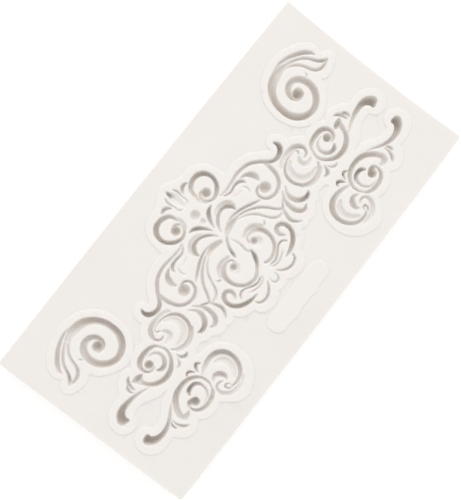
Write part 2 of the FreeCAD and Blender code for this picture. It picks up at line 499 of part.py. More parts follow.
AXIAL_HOLLOWS = {
    "pearl": (0, 18.6, 1.7, 1.8, 2, 0),
    "pearl_small": (0, 15, 0.95, 1.15, 1.2, 0),
}


# ---------------------------------------------------------------- slab
def body_plane(body, role):
    """One of the body's own origin planes."""
    for feature in body.Origin.OriginFeatures:
        if feature.Role == role:
            return feature
    raise RuntimeError("no plane " + role)


def new_sketch(body, name, height=None):
    """A sketch level with the bench, or lifted and moved to where the ornament lies."""
    sketch = body.newObject("Sketcher::SketchObject", name)
    sketch.AttachmentSupport = [(body_plane(body, "XY_Plane"), "")]
    sketch.MapMode = "FlatFace"
    if height:
        sketch.setExpression("AttachmentOffset.Base.y", "Sizes.ornament_shift")
        sketch.setExpression("AttachmentOffset.Base.z", height)
    return sketch


def through(points):
    """A smooth curve through the points, or a straight line when there are only two."""
    if len(points) == 2:
        return Part.LineSegment(points[0], points[1])
    curve = Part.BSplineCurve()
    curve.interpolate(Points=points)
    return curve


def flipped(lobes):
    """The lobes mirrored about the axis, in the order that closes the outline."""
    return [[(-x, y) for x, y in reversed(lobe)] for lobe in reversed(lobes)]


def draw_lobes(sketch, lobes):
    """Draws an outline of curved lobes that meet in notches."""
    for lobe in lobes:
        sketch.addGeometry(through([on_face(x, y) for x, y in lobe]), False)


body = doc.addObject("PartDesign::Body", "Slab")
outline = new_sketch(body, "SlabOutline")
half_length = size("slab_length") / 2
half_width = size("slab_width") / 2
half_lean = size("side_lean") / 2
top_left = V(-half_length - half_lean, half_width, 0)
top_right = V(half_length - half_lean, half_width, 0)
foot_right = V(half_length + half_lean, -half_width, 0)
foot_left = V(-half_length + half_lean, -half_width, 0)
sides = [
    [top_left, V(0, half_width + size("side_bow"), 0), top_right],
    [top_right, V(half_length - size("end_hollow"), 0, 0), foot_right],
    [foot_right, V(0, -half_width - size("side_bow"), 0), foot_left],
    [foot_left, top_left],
]
for side in sides:
    outline.addGeometry(through(side), False)

slab = body.newObject("PartDesign::Pad", "SlabPad")
slab.Profile = outline
slab.setExpression("Length", "Sizes.slab_thickness")
body.Tip = slab
doc.recompute()


def edges_where(shape, test):
    """Names of the edges that pass the test."""
    return ["Edge%d" % (i + 1) for i, edge in enumerate(shape.Edges) if test(edge)]


def upright(edge):
    """True for the edges at the slab's four corners."""
    return edge.BoundBox.ZLength > size("slab_thickness") / 2


def level(edge):
    """True for the edges that lie flat."""
    return edge.BoundBox.ZLength < size("edge_round") / 10


corners = body.newObject("PartDesign::Fillet", "CornerRound")
corners.Base = (slab, edges_where(slab.Shape, upright))
corners.setExpression("Radius", "Sizes.corner_round")
body.Tip = corners
doc.recompute()

rims = body.newObject("PartDesign::Fillet", "EdgeRound")
rims.Base = (corners, edges_where(corners.Shape, level))
rims.setExpression("Radius", "Sizes.edge_round")
body.Tip = rims
doc.recompute()


# ---------------------------------------------------------------- lands
def raise_land(name, lobes):
    """Pads one raised land up from the face of the sheet."""
    sketch = new_sketch(body, name + "Outline", "Sizes.slab_thickness - Sizes.land_height")
    draw_lobes(sketch, lobes)
    pad = body.newObject("PartDesign::Pad", name)
    pad.Profile = sketch
    pad.setExpression("Length", "2 * Sizes.land_height")
    body.Tip = pad
    doc.recompute()
    return pad


raise_land("OrnamentLand", ORNAMENT_LAND + flipped(ORNAMENT_LAND))
raise_land("CornerLandRight", CORNER_LAND)
raise_land("CornerLandLeft", flipped(CORNER_LAND))
raise_land("LabelPanel", LABEL_PANEL + flipped(LABEL_PANEL))


# ---------------------------------------------------------------- cavities
# They are laid out round their own level, and the whole ornament is then lifted to the face.
RING = 12       # points round one section of a groove


def section(station, heading, lean):
    """The oval wire of a groove at one station, square to its heading, its bed leaning to its left."""
    x, y, half, deep = station
    middle = on_face(x, y)
    side = on_face(-heading.y * half, heading.x * half)
    drop = V(0, 0, -deep * DOWN)
    turns = [2 * math.pi * i / RING for i in range(RING)]
    ring = Part.BSplineCurve()
    rim = []
    for turn in turns:
        sideways = math.cos(turn) + lean * math.sin(turn) ** 2
        rim.append(middle + side * sideways + drop * math.sin(turn))
    ring.interpolate(Points=rim, PeriodicFlag=True)
    return Part.Wire(ring.toShape())


def groove(stations, lean):
    """A solid that runs through the stations, rounded below and wide open above the face."""
    knots = [0.0]
    for before, after in zip(stations, stations[1:]):
        knots.append(knots[-1] + math.sqrt(math.hypot(after[0] - before[0], after[1] - before[1])))
    line = Part.BSplineCurve()
    line.interpolate(Points=[V(x, y, 0) for x, y, half, deep in stations], Parameters=knots)
    wires = [section(station, line.tangent(knot)[0], lean) for station, knot in zip(stations, knots)]
    return Part.makeLoft(wires, True, False)


def mirrored_stations(stations):
    """The same groove on the other side of the axis."""
    return [(-x, y, half, deep) for x, y, half, deep in stations]


def add_groove(name, stations, lean):
    """Neither a Pad nor a Sweep can change width and depth along the way, so this is a loft."""
    feature = doc.addObject("Part::Feature", name)
    feature.Shape = groove(stations, lean)
    return feature


def add_hollow(name, x, y, half_long, half_wide, deep, turn):
    """A rounded hollow."""
    feature = doc.addObject("Part::Ellipsoid", name)
    feature.Radius1 = deep * DOWN
    feature.Radius2 = half_long * SPREAD
    feature.Radius3 = half_wide * SPREAD
    feature.Placement = FreeCAD.Placement(on_face(x, y), FreeCAD.Rotation(V(0, 0, 1), turn))
    return feature


cavities = []
for name, stations in PAIRED_GROOVES.items():
    lean = LEANS.get(name, 0.0)
    cavities.append(add_groove(name + "_right", stations, lean))
    cavities.append(add_groove(name + "_left", mirrored_stations(stations), -lean))
for name, stations in AXIAL_GROOVES.items():
    cavities.append(add_groove(name, stations, LEANS.get(name, 0.0)))
for name, (x, y, half_long, half_wide, deep, turn) in PAIRED_HOLLOWS.items():
    cavities.append(add_hollow(name + "_right", x, y, half_long, half_wide, deep, turn))
    cavities.append(add_hollow(name + "_left", -x, y, half_long, half_wide, deep, -turn))
for name, (x, y, half_long, half_wide, deep, turn) in AXIAL_HOLLOWS.items():
    cavities.append(add_hollow(name, x, y, half_long, half_wide, deep, turn))

ornament = doc.addObject("Part::MultiFuse", "Ornament")
ornament.Shapes = cavities
ornament.Refine = False
ornament.setExpression("Placement.Base.y", "Sizes.ornament_shift")
ornament.setExpression("Placement.Base.z", "Sizes.slab_thickness + Sizes.land_height")

mould = doc.addObject("Part::Cut", "Mould")
mould.Base = body
mould.Tool = ornament
mould.Refine = False
mould.Label = "mould_body"
doc.recompute()


# ---------------------------------------------------------------- checks and export
def stop(reason):
    """Ends the build with a reason, so that a broken mould is never written out."""
    print("BUILD STOPPED: " + reason)
    sys.exit(1)


for feature in doc.Objects:
    if "Invalid" in feature.State or "Error" in feature.State:
        stop("%s is %s" % (feature.Name, feature.State))

shape = mould.Shape
if shape.isNull() or not shape.isValid():
    stop("mould_body has no valid shape")
if len(shape.Solids) != 1:
    stop("mould_body came apart into %d solids" % len(shape.Solids))
box = shape.optimalBoundingBox(False)
if abs(box.ZMax - FACE) > 0.01:
    stop("mould_body reaches %.3f and its lands %.3f" % (box.ZMax, FACE))

os.makedirs("parts", exist_ok=True)
shape.Solids[0].exportStep(os.path.join("parts", mould.Label + ".step"))
print("mould_body %.2f x %.2f x %.2f mm, %.0f mm3" % (box.XLength, box.YLength, box.ZLength, shape.Volume))
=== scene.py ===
import math

import bpy
import numpy as np
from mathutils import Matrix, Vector


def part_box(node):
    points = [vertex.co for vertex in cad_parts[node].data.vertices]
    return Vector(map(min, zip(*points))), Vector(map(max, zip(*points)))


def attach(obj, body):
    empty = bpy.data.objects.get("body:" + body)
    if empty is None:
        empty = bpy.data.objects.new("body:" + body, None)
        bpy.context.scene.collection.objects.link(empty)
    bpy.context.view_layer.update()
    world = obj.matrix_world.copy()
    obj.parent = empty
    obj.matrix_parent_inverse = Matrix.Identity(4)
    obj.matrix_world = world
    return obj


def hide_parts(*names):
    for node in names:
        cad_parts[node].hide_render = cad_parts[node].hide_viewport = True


# The looks of a silicone casting mould: one soft off-white slab whose face carries raised lands,
# a blank label panel, and the scroll, leaf and comma cavities that resin is poured into.
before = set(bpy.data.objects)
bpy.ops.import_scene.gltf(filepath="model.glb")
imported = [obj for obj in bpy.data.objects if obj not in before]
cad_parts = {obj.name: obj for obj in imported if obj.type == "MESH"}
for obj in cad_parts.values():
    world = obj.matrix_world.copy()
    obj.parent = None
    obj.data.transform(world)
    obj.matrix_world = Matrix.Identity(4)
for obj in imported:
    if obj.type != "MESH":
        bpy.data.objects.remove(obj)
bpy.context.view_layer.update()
MM = 0.001


low, high = (Vector(corner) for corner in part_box("mould_body"))

# ---------------------------------------------------------------- relief
GROOVE_ROUNDNESS = 1.3      # 1 is half an ellipse, 2 a parabola with sloping walls
LIP_SOFTNESS = 2            # rounds of smoothing over the lips of the cavities
LAND_SOFTNESS = 1           # rounds of smoothing over the edges of the lands

# ---------------------------------------------------------------- tones of the silicone, with painted shade in its cavities and painted light on its lands
SHEET_COOL = (0.765, 0.737, 0.708)
SHEET_WARM = (0.78, 0.752, 0.72)
# painted light: the raised lands are painted a little lighter than the sheet round them
LAND_PAINTED_LIGHT = (0.785, 0.757, 0.725)
# painted shade: deep cavities are painted darker and warmer, standing in for the shade and warm bounce light
# down in them
CAVITY_PAINTED_SHADE = (0.655, 0.593, 0.54)
PATCHES_PER_METRE = 28      # cloudy patches of the cool and the warm tone
GRAIN_PER_METRE = 2600      # fine grain of the skin
GRAIN_HEIGHT = 0.02 * MM
SAG_PER_METRE = 90          # slow waviness of a soft sheet
SAG_HEIGHT = 0.12 * MM
SHADE_PAINTED_FROM = 0.4 * MM       # a cavity's painted shade starts at this depth
SHADE_PAINTED_TO = 4.5 * MM         # and is full at this one
GLOSSY = 0.46
DULL = 0.6

# ---------------------------------------------------------------- light, bench and camera
WINDOW_AZIMUTH = 35         # degrees from the long axis
WINDOW_ELEVATION = 42
WINDOW_DISTANCE = 4.0       # metres
WINDOW_SIZE = 2.0
WINDOW_WATTS = 45
SKY_STRENGTH = 0.97
BENCH_SIZE = 6
BENCH_TONE = 0.93
BENCH_GLOW = 0.15           # painted light: a faint glow on the bench, which thins the shadows on it
CAMERA_LENS = 61.2          # mm, on a sensor as wide as the next line says
CAMERA_SENSOR = 36
CAMERA_PLACE = (-24.02, 13.14, 301.2)       # mm from the middle of the face
CAMERA_TURN = (1.833, -4.447, -51.86)       # degrees

# ---------------------------------------------------------------- layout of the ornament, in mm
# Raised lands: smooth lobes between notches, right half, from the head of the axis to its foot.
ORNAMENT_LAND = [
    [
        (0, 34.8), (2.4, 33.8), (5, 32.2), (7.8, 31.1),
    ],
    [
        (7.8, 31.1), (10.5, 31), (13.4, 30.2), (15.9, 28.3), (17.3, 25.5), (17.8, 22.3),
        (18.2, 19.2),
    ],
    [
        (18.2, 19.2), (21, 19.6), (24.5, 19.3), (28, 18.2), (31, 16.1), (33.3, 13.5),
        (35.2, 11.9),
    ],
    [
        (35.2, 11.9), (35.3, 13.6), (36.5, 15), (38.4, 15.5), (40.4, 14.6), (41.7, 12.6),
        (41.9, 9.9),
    ],
    [
        (41.9, 9.9), (43.9, 8.7), (45.6, 7), (47, 5.5),
    ],
    [
        (47, 5.5), (49.3, 6.1), (51.9, 5.8), (54.4, 4.7), (56.2, 3.1),
    ],
    [
        (56.2, 3.1), (58, 4.3), (60.2, 4.5), (62.8, 3.5), (64.9, 1.9), (66.2, 0.2),
    ],
    [
        (66.2, 0.2), (69, 0.2), (72, -0.2), (74.9, -1.7), (76.9, -4.6), (77, -7.9),
        (75.3, -10.3), (72.3, -11.4), (69.7, -10.5), (68.1, -8),
    ],
    [
        (68.1, -8), (66.2, -7.6), (63.6, -8.1), (60.8, -9.6), (57.9, -11.1), (54.3, -12),
    ],
    [
        (54.3, -12), (57, -12.3), (59.8, -13.4), (62.5, -15.1), (65.2, -16.1), (68.3, -16.2),
    ],
    [
        (68.3, -16.2), (68.9, -14.3), (70.5, -12.9), (72.9, -12.6), (75.4, -13.7), (77, -16.2),
        (77, -19.2), (75.4, -22), (72.6, -23.6), (69.5, -24), (66.2, -23.8),
    ],
    [
        (66.2, -23.8), (65.1, -25.8), (63.2, -27.8), (60.8, -28.7), (58.4, -28.3), (56.1, -26.9),
    ],
    [
        (56.1, -26.9), (54.4, -28.7), (51.8, -29.8), (49.3, -30), (46.6, -29.2),
    ],
    [
        (46.6, -29.2), (44.9, -31.4), (42.8, -33.9), (40.2, -35.4), (37.1, -35.6), (33.6, -34.3),
        (30.8, -32.3), (28.7, -29.6), (27.5, -26.2), (27.4, -22.4), (28.3, -18.8), (30.3, -15.8),
        (33.4, -13.7), (37.8, -12.7),
    ],
    [
        (37.8, -12.7), (38.4, -12.2), (38, -11.6),
    ],
    [
        (38, -11.6), (36.1, -11), (34.1, -11), (32.2, -12.3), (29.9, -12.6),
    ],
    [
        (29.9, -12.6), (28.9, -13.8), (27.1, -14.8), (25.3, -15), (23.6, -14.6),
    ],
    [
        (23.6, -14.6), (22.8, -15.2), (21.2, -15.1), (19.7, -14.5),
    ],
    [
        (19.7, -14.5), (18.7, -16.3), (17, -17.6), (15.2, -18.3), (13.5, -18.8),
    ],
    [
        (13.5, -18.8), (13.1, -20.6), (11.6, -22.3), (9.5, -23.3), (7.2, -23.5), (4.7, -22.9),
        (2.4, -21.3),
    ],
    [
        (2.4, -21.3), (1.6, -21.9), (0, -22.1),
    ],
]

CORNER_LAND = [
    [
        (54.3, 4.9), (51.2, 6.2), (48.6, 8.3), (46.8, 11), (45.8, 14.2), (45.5, 17.6),
        (46, 21.2), (47.2, 24.6), (49.4, 27.5), (52.3, 29.8), (55.9, 31.2), (59.8, 31.8),
        (64, 31.4), (68, 30.2), (71.6, 28.3), (74.2, 25.6), (75.3, 22.5), (74.4, 19.5),
    ],
    [
        (74.4, 19.5), (76.3, 18.4), (77.4, 16.6), (77, 14.8), (75, 13.1), (72.2, 12.2),
        (69.2, 12.1), (66.8, 13.3),
    ],
    [
        (66.8, 13.3), (66, 11), (64.3, 8.9), (61.9, 7.1), (59.2, 5.6), (56.5, 4.7),
        (54.3, 4.9),
    ],
]

LABEL_PANEL = [
    [
        (0, -24.3), (11.5, -24.3),
    ],
    [
        (11.5, -24.3), (13.6, -25), (15.3, -26.4), (15.4, -28.4), (14.6, -30.6), (13, -31.9),
    ],
    [
        (13, -31.9), (8.5, -31.9), (5.5, -32.5), (3, -31.9), (0, -31.9),
    ],
]

# Grooves by stations on their middle line: along, across, half width, depth.
PAIRED_GROOVES = {
    "corner_band": [
        (62.5, 26.4, 1, 1.6), (60, 26.9, 1.4, 2.2), (57, 26.7, 1.7, 2.8), (54.2, 25.9, 1.6, 3.2),
        (52, 24.3, 1.35, 3.4), (50.3, 22, 1.2, 3.4), (49.4, 19.5, 1.15, 3.4), (49.2, 17, 1.15, 3.4),
        (49.4, 14.5, 1.2, 3.4), (50.4, 12.2, 1.25, 3.4), (52.2, 10.2, 1.2, 3.4), (54.6, 9.1, 1.1, 3.3),
        (57.2, 9, 1.1, 3.2), (59.6, 10.1, 1.15, 3.1), (61.5, 12, 1.25, 3), (62.6, 14.4, 1.3, 2.9),
        (62.7, 17, 1.3, 2.8), (61.8, 19.4, 1.3, 2.6), (60, 20.9, 1.2, 2.4), (57.8, 21, 1.15, 2.5),
        (56, 20, 1.05, 2.6), (55.2, 18.2, 1, 2.7), (55.6, 16.4, 1, 2.7), (56.9, 15.6, 1, 2.6),
        (58.2, 16, 1.1, 2.6),
    ],
    "corner_leaf_1": [
        (57, 28.1, 0.3, 0.8), (59, 28.5, 0.42, 1.2), (61.5, 28.7, 0.5, 1.5), (64, 28.1, 0.6, 1.7),
        (66.5, 27.1, 0.7, 2), (69, 25.6, 0.8, 2.3), (71, 23.9, 0.8, 2.3), (72.2, 22.2, 0.6, 1.8),
        (72.5, 20.8, 0.3, 1),
    ],
    "corner_leaf_2": [
        (62, 26.9, 0.7, 1.4), (64, 26.2, 0.6, 1.4), (66.5, 25, 0.55, 1.5), (69, 23, 0.5, 1.6),
        (70.4, 20.8, 0.5, 1.7), (71.3, 18.8, 0.55, 2), (72.7, 17.1, 0.6, 2.3), (74.2, 16.2, 0.25, 1.2),
    ],
    "corner_leaf_3": [
        (62, 26, 0.6, 1.4), (64, 24.8, 0.55, 1.4), (65.7, 23, 0.5, 1.4), (66.8, 20.9, 0.5, 1.5),
        (67.4, 18.8, 0.55, 1.6), (68.4, 17, 0.65, 1.8), (70, 15.9, 0.65, 1.9), (71.8, 15.7, 0.55, 1.8),
        (74, 16.1, 0.25, 1.2),
    ],
    "corner_notch": [
        (63.9, 18.1, 0.25, 0.8), (64.8, 18.5, 0.35, 1), (65.1, 19.2, 0.25, 0.8),
    ],
    "tendril": [
        (11, 15.9, 0.35, 0.8), (13, 15.5, 0.45, 1.1), (15, 15.5, 0.5, 1.3), (18, 15.8, 0.55, 1.5),
        (21, 16.1, 0.6, 1.7), (24, 15.7, 0.65, 1.9), (26.5, 14.8, 0.65, 2), (28.5, 13.3, 0.65, 2.1),
        (30, 11.8, 0.65, 2.1), (31.3, 10.1, 0.7, 2.3), (32.6, 8.9, 0.75, 2.6), (34.2, 8.3, 0.8, 3),
        (36, 8.5, 0.9, 3.4), (37.5, 9.3, 0.95, 3.8), (38.3, 10.4, 0.9, 3.9), (38.4, 11.7, 0.65, 3.2),
        (38, 12.8, 0.25, 1.6),
    ],
    "tendril_inner": [
        (11.5, 15.2, 0.3, 1), (12.8, 14.2, 0.4, 1.5), (14.5, 13.8, 0.45, 1.8), (17, 14.1, 0.5, 2),
        (19, 13.8, 0.65, 2.1), (20.1, 12.9, 0.55, 2), (20.3, 11.8, 0.3, 1),
    ],
    "tendril_petal": [
        (20.6, 14.1, 0.35, 1), (22.6, 13.3, 0.7, 2), (23.9, 11.8, 1.1, 2.5), (24.3, 10.1, 1.1, 2.1),
        (23.9, 8.7, 0.6, 1.2),
    ],
    "tendril_lobe": [
        (18.7, 8.4, 0.3, 0.6), (19.2, 9.6, 0.35, 0.8), (19.1, 10.7, 0.35, 0.8), (18.5, 11.7, 0.25, 0.5),
    ],
    "tendril_tick": [
        (13.5, 11.9, 0.25, 0.4), (15.3, 11.3, 0.35, 0.5), (17, 11, 0.25, 0.4),
    ],
    "volute": [
        (30.1, 11.4, 0.6, 1.6), (30.2, 9.3, 0.75, 1.9), (30, 7, 0.8, 2), (29.5, 4.9, 0.75, 2),
        (28.5, 3.1, 0.7, 2), (27, 1.8, 0.65, 2), (25.2, 1.1, 0.6, 2), (23.4, 1, 0.6, 1.9),
        (21.6, 1.6, 0.6, 1.8), (20.3, 2.8, 0.55, 1.7), (19.7, 4.4, 0.5, 1.7), (19.9, 5.9, 0.5, 1.7),
        (20.9, 6.9, 0.5, 1.7), (22.3, 7.1, 0.5, 1.7),
    ],
    "fan_a": [
        (26, -0.6, 0.3, 0.8), (25.1, -1.9, 0.45, 1.1), (24.2, -3.2, 0.6, 1.5), (23.7, -5, 0.8, 1.9),
        (23.6, -7, 0.9, 2.1), (24, -8.9, 0.95, 2.3), (25, -10.3, 0.9, 2.4), (26.4, -10.9, 0.7, 2.1),
        (27.8, -10.2, 0.3, 1.2),
    ],
    "fan_b": [
        (28.2, -0.3, 0.3, 0.7), (27, -1.7, 0.5, 1.1), (26.3, -3.2, 0.75, 1.5), (26.3, -5, 0.95, 2),
        (27, -6.7, 1, 2.3), (28.3, -8, 0.95, 2.9), (29.8, -8.6, 0.85, 3.4), (31.1, -8.5, 0.7, 3.1),
        (32.1, -7.9, 0.25, 1.4),
    ],
    "fan_c": [
        (21.2, -4.8, 0.45, 1.2), (20.7, -6.2, 0.6, 1.6), (20.2, -7.8, 0.65, 1.8), (20, -9.3, 0.7, 2),
        (20.5, -10.7, 0.6, 1.9), (21.4, -11.9, 0.4, 1.4), (22.3, -12.8, 0.2, 0.7),
    ],
    "fan_v": [
        (21.3, -4.6, 0.4, 1.8), (22.8, -3.5, 0.4, 1.8), (24.2, -2.6, 0.35, 1.6),
    ],
    "cscroll_rim": [
        (40, 3.1, 0.3, 1.1), (40.9, 3.7, 0.35, 1.3), (40.9, 4.5, 0.35, 1.3), (40.2, 5.05, 0.4, 1.4),
        (38.8, 5.2, 0.45, 1.5), (37, 5.1, 0.45, 1.7), (35, 4.6, 0.5, 1.8), (33.2, 3.6, 0.6, 2),
        (31.9, 2.2, 0.7, 2.2), (31.3, 0.6, 0.75, 2.3), (31.2, -1.2, 0.75, 2.3), (31.6, -3, 0.7, 2.3),
        (32.6, -4.7, 0.65, 2.3), (34.1, -5.9, 0.65, 2.3), (36, -6.6, 0.6, 2.3), (38, -6.7, 0.6, 2.2),
        (40, -6.2, 0.55, 1.9), (41.5, -5.3, 0.5, 1.4), (42.6, -4.1, 0.35, 0.9),
    ],
    "cscroll_shoulder": [
        (41.5, -6, 0.6, 1.3), (39.5, -7, 0.8, 1.7), (37, -7.3, 0.9, 1.9), (34.4, -6.6, 0.9, 1.9),
        (32.3, -5, 0.9, 1.9),
    ],
    "cscroll_hook": [
        (32.6, 4.9, 0.7, 1), (34.5, 6, 0.9, 1.2), (37, 6.4, 0.9, 1.5), (39.5, 6.5, 0.9, 1.9),
        (41.6, 5.8, 0.95, 2.2), (42.9, 4.5, 0.85, 2.4), (43.4, 3.1, 0.65, 2.1), (43, 1.7, 0.45, 1.8),
        (42, 0.85, 0.4, 1.6), (40.6, 0.9, 0.25, 1.1),
    ],
    "cscroll_pocket": [
        (39.5, 2.3, 0.5, 0.8), (38.6, 0.9, 0.9, 1.4), (38.8, -0.7, 1, 1.4), (40.3, -1.4, 0.8, 1),
        (42, -1.2, 0.4, 0.6),
    ],
    "cscroll_floor": [
        (36.4, 3.9, 0.5, 0.8), (34, 2.3, 1.2, 1.3), (33.3, -0.8, 1.4, 1.4), (34.5, -3.6, 1.4, 1.4),
        (37.2, -5, 1.1, 1.3), (40.2, -4.9, 0.6, 0.8),
    ],
    "drop_1": [
        (42.8, -7, 0.35, 0.9), (42.5, -8.4, 0.6, 1.7), (41.4, -9.5, 0.7, 2.2), (40.1, -9.3, 0.4, 1.4),
    ],
    "drop_2": [
        (43.6, -7.8, 0.3, 0.7), (44.3, -9.1, 0.45, 1.2), (45.3, -9.9, 0.55, 1.4), (46.5, -9.9, 0.3, 0.8),
    ],
    "ring_top": [
        (44.5, -0.1, 0.4, 1.2), (45.3, 1.2, 0.6, 1.7), (46.9, 2, 0.8, 2.3), (49, 2.35, 0.95, 2.7),
        (51, 2.35, 1, 2.8), (52.8, 1.8, 0.95, 2.8), (54, 0.6, 0.75, 2.5), (54.4, -0.9, 0.6, 2.2),
        (53.9, -2.4, 0.5, 1.9), (52.7, -3.3, 0.5, 1.7), (51.2, -3.3, 0.4, 1.3),
    ],
    "ring_base": [
        (44.5, -0.1, 0.4, 1), (43.9, -1.8, 0.5, 1.3), (43.9, -3.5, 0.55, 1.5), (44.7, -5.3, 0.6, 1.7),
        (46.2, -7, 0.7, 2.2), (48.2, -8.3, 0.85, 2.8), (50.6, -8.8, 0.95, 3.3), (53, -8.5, 0.95, 3.1),
        (55.2, -7.4, 0.9, 2.6), (56.8, -5.8, 0.8, 2.2), (57.6, -4.1, 0.8, 2), (58, -2.5, 1.1, 2),
        (58.1, -1.2, 1, 1.7),
    ],
    "ring_wedge": [
        (55.7, -1.5, 0.3, 1.2), (57, -1.4, 1, 2.8), (58.4, -1.2, 1.2, 2.9), (59.5, -0.7, 0.6, 1.6),
    ],
    "ring_heart": [
        (50.3, 0.6, 0.25, 0.6), (48.8, 0.5, 0.4, 0.9), (47.3, -0.2, 0.55, 1.2), (46.4, -1.6, 0.65, 1.4),
        (46.4, -3.3, 0.75, 1.6), (47.2, -4.8, 0.8, 2), (48.5, -5.7, 0.8, 2.5), (50, -5.8, 0.8, 2.8),
        (51.3, -4.9, 0.4, 1.7),
    ],
    "ring_leaf_1": [
        (59.3, 1.7, 0.25, 1), (60.4, 1.1, 0.5, 2), (61.2, 0, 0.65, 2.2), (61.6, -1.3, 0.65, 1.9),
        (61.6, -2.7, 0.35, 1.1),
    ],
    "ring_leaf_2": [
        (61.9, 0, 0.35, 1.5), (62.8, -0.7, 0.5, 2.1), (63.1, -1.9, 0.45, 1.8), (62.6, -3.2, 0.25, 1),
    ],
    "comma": [
        (57.4, -6.4, 0.3, 0.7), (59.5, -5.6, 0.45, 1), (61.5, -4.8, 0.55, 1.4), (63.5, -4.2, 0.7, 1.9),
        (65.5, -3.8, 0.85, 2.5), (67.5, -3.6, 1, 3.1), (69.5, -3.7, 1.2, 3.8), (71.2, -4.4, 1.5, 4.5),
        (72.4, -5.7, 1.7, 4.9),
    ],
    "low_cscroll_rim": [
        (43.3, -18.6, 0.3, 0.8), (41.6, -17.8, 0.6, 1.2), (39.5, -17.1, 0.85, 1.8), (37, -16.8, 0.95, 2.3),
        (34.8, -17.2, 1.05, 2.8), (33, -18.3, 1.1, 3.1), (31.7, -20, 1.05, 3.1), (31.2, -22, 0.95, 2.9),
        (31.3, -24, 0.9, 2.7), (32, -26, 0.9, 2.5), (33.2, -27.7, 0.85, 2.3), (34.8, -28.9, 0.75, 2.2),
        (36.8, -29.5, 0.65, 2.1), (38.5, -29.4, 0.5, 1.7), (39.6, -28.9, 0.35, 1.1),
    ],
    "low_cscroll_hook": [
        (34.5, -30, 0.7, 0.8), (37, -31, 0.8, 1.1), (40, -30.9, 0.9, 1.3), (42.3, -29.7, 0.9, 1.5),
        (43.6, -27.8, 0.85, 1.5), (43.7, -26, 0.65, 1.4), (42.8, -24.9, 0.5, 1.4), (41.4, -24.8, 0.4, 1.4),
        (40.2, -25.3, 0.25, 1),
    ],
    "low_cscroll_pocket": [
        (42.3, -22.7, 0.4, 0.9), (40.6, -22, 0.8, 1.8), (39.1, -22.7, 1, 2.4), (38.3, -24.1, 1, 2.5),
        (38.3, -25.3, 0.7, 1.8), (38.9, -26.2, 0.3, 0.9),
    ],
    "low_cscroll_floor": [
        (36.6, -19.2, 0.6, 0.8), (34.5, -20.4, 1.3, 1.3), (33.5, -23, 1.4, 1.4), (34.4, -25.9, 1.3, 1.3),
        (36.3, -27.8, 0.8, 1),
    ],
    "low_curl": [
        (39.3, -28.2, 0.25, 0.9), (40, -27.2, 0.3, 1.4), (40.9, -27.1, 0.35, 1.6), (41.2, -27.9, 0.35, 1.6),
        (40.6, -28.9, 0.35, 1.4), (39.6, -29.8, 0.25, 0.9),
    ],
    "low_drop_1": [
        (43, -16.4, 0.3, 1.3), (42.4, -15.1, 0.55, 2.3), (41.3, -14.3, 0.65, 2.7), (40.2, -15.1, 0.35, 1.6),
    ],
    "low_drop_2": [
        (43.8, -15.8, 0.25, 1.2), (44.6, -14.3, 0.45, 2.2), (45.7, -13.8, 0.45, 2.4), (46.7, -14.5, 0.3, 1.5),
    ],
    "low_ring_rim": [
        (44.4, -23.8, 0.35, 1), (43.6, -21.9, 0.45, 1.4), (43.6, -19.8, 0.5, 1.7), (44.4, -17.8, 0.6, 1.9),
        (46, -16.2, 0.75, 2.3), (48.2, -15.2, 0.85, 2.6), (50.5, -14.9, 0.9, 2.8), (53, -15.2, 1, 3),
        (55.3, -16.2, 1.05, 3), (57.1, -17.9, 1.05, 2.7), (58.3, -19.8, 1.05, 2.3), (58.8, -21.6, 1, 2),
        (58.3, -22.9, 0.8, 1.6),
    ],
    "low_ring_wedge": [
        (55.7, -22.4, 0.3, 0.9), (57.1, -22.9, 0.9, 1.8), (58.5, -22.6, 1.15, 2), (59.1, -20.9, 0.9, 1.8),
    ],
    "low_ring_base": [
        (44.4, -23.8, 0.35, 1), (45.4, -25, 0.65, 1.6), (47.1, -25.8, 0.85, 2.2), (49.3, -26.2, 0.85, 2.3),
        (51.6, -25.9, 0.75, 2.2), (53.4, -24.9, 0.65, 2), (54.4, -23.4, 0.5, 1.8), (54.5, -21.9, 0.4, 1.4),
    ],
    "low_ring_heart": [
        (50.4, -25, 0.25, 0.6), (48.7, -24.9, 0.4, 1), (47.2, -24.1, 0.45, 1.2), (46.1, -22.6, 0.45, 1.3),
        (45.8, -20.9, 0.5, 1.5), (46.1, -19.2, 0.65, 2.1), (47.2, -18.1, 0.75, 2.8), (48.7, -17.8, 0.75, 3.2),
        (50.3, -18.1, 0.75, 3.4), (51.2, -19.2, 0.4, 2),
    ],
    "low_ring_eye_tail": [
        (52.2, -21.4, 1.2, 3.2), (53.5, -21, 0.95, 2.8), (54.5, -21.5, 0.4, 1.6),
    ],
    "low_leaf_1": [
        (61.7, -19.6, 0.25, 0.7), (62, -21.6, 0.45, 1.3), (61.5, -23.4, 0.6, 1.7), (60.6, -24.7, 0.5, 1.8),
        (59.6, -25.4, 0.25, 1),
    ],
    "low_leaf_2": [
        (62.5, -19.8, 0.25, 1.2), (63.3, -21.2, 0.4, 2), (63.2, -22.6, 0.3, 1.6),
    ],
    "low_comma": [
        (56.6, -15.6, 0.25, 0.6), (58.8, -16.7, 0.45, 1.1), (60.8, -18, 0.55, 1.5), (62.8, -19.1, 0.65, 2),
        (65, -19.9, 0.75, 2.6), (67.5, -20.2, 0.9, 3.2), (69.8, -19.8, 1.15, 3.9), (71.6, -18.8, 1.45, 4.5),
        (72.6, -17.4, 1.6, 4.9),
    ],
    "crest_side": [
        (2.1, 30.3, 0.3, 1), (2.6, 29.3, 0.4, 1.4), (2.6, 27.9, 0.45, 1.4), (2.3, 26.4, 0.4, 1.1),
        (2.4, 24.9, 0.35, 0.9), (1.9, 23.6, 0.35, 0.9), (0.9, 23.5, 0.25, 0.6),
    ],
    "crest_leaf": [
        (3.2, 26.4, 0.3, 0.9), (4, 27.6, 0.6, 1.8), (5.2, 28.4, 0.7, 2.2), (6.5, 28.3, 0.55, 1.8),
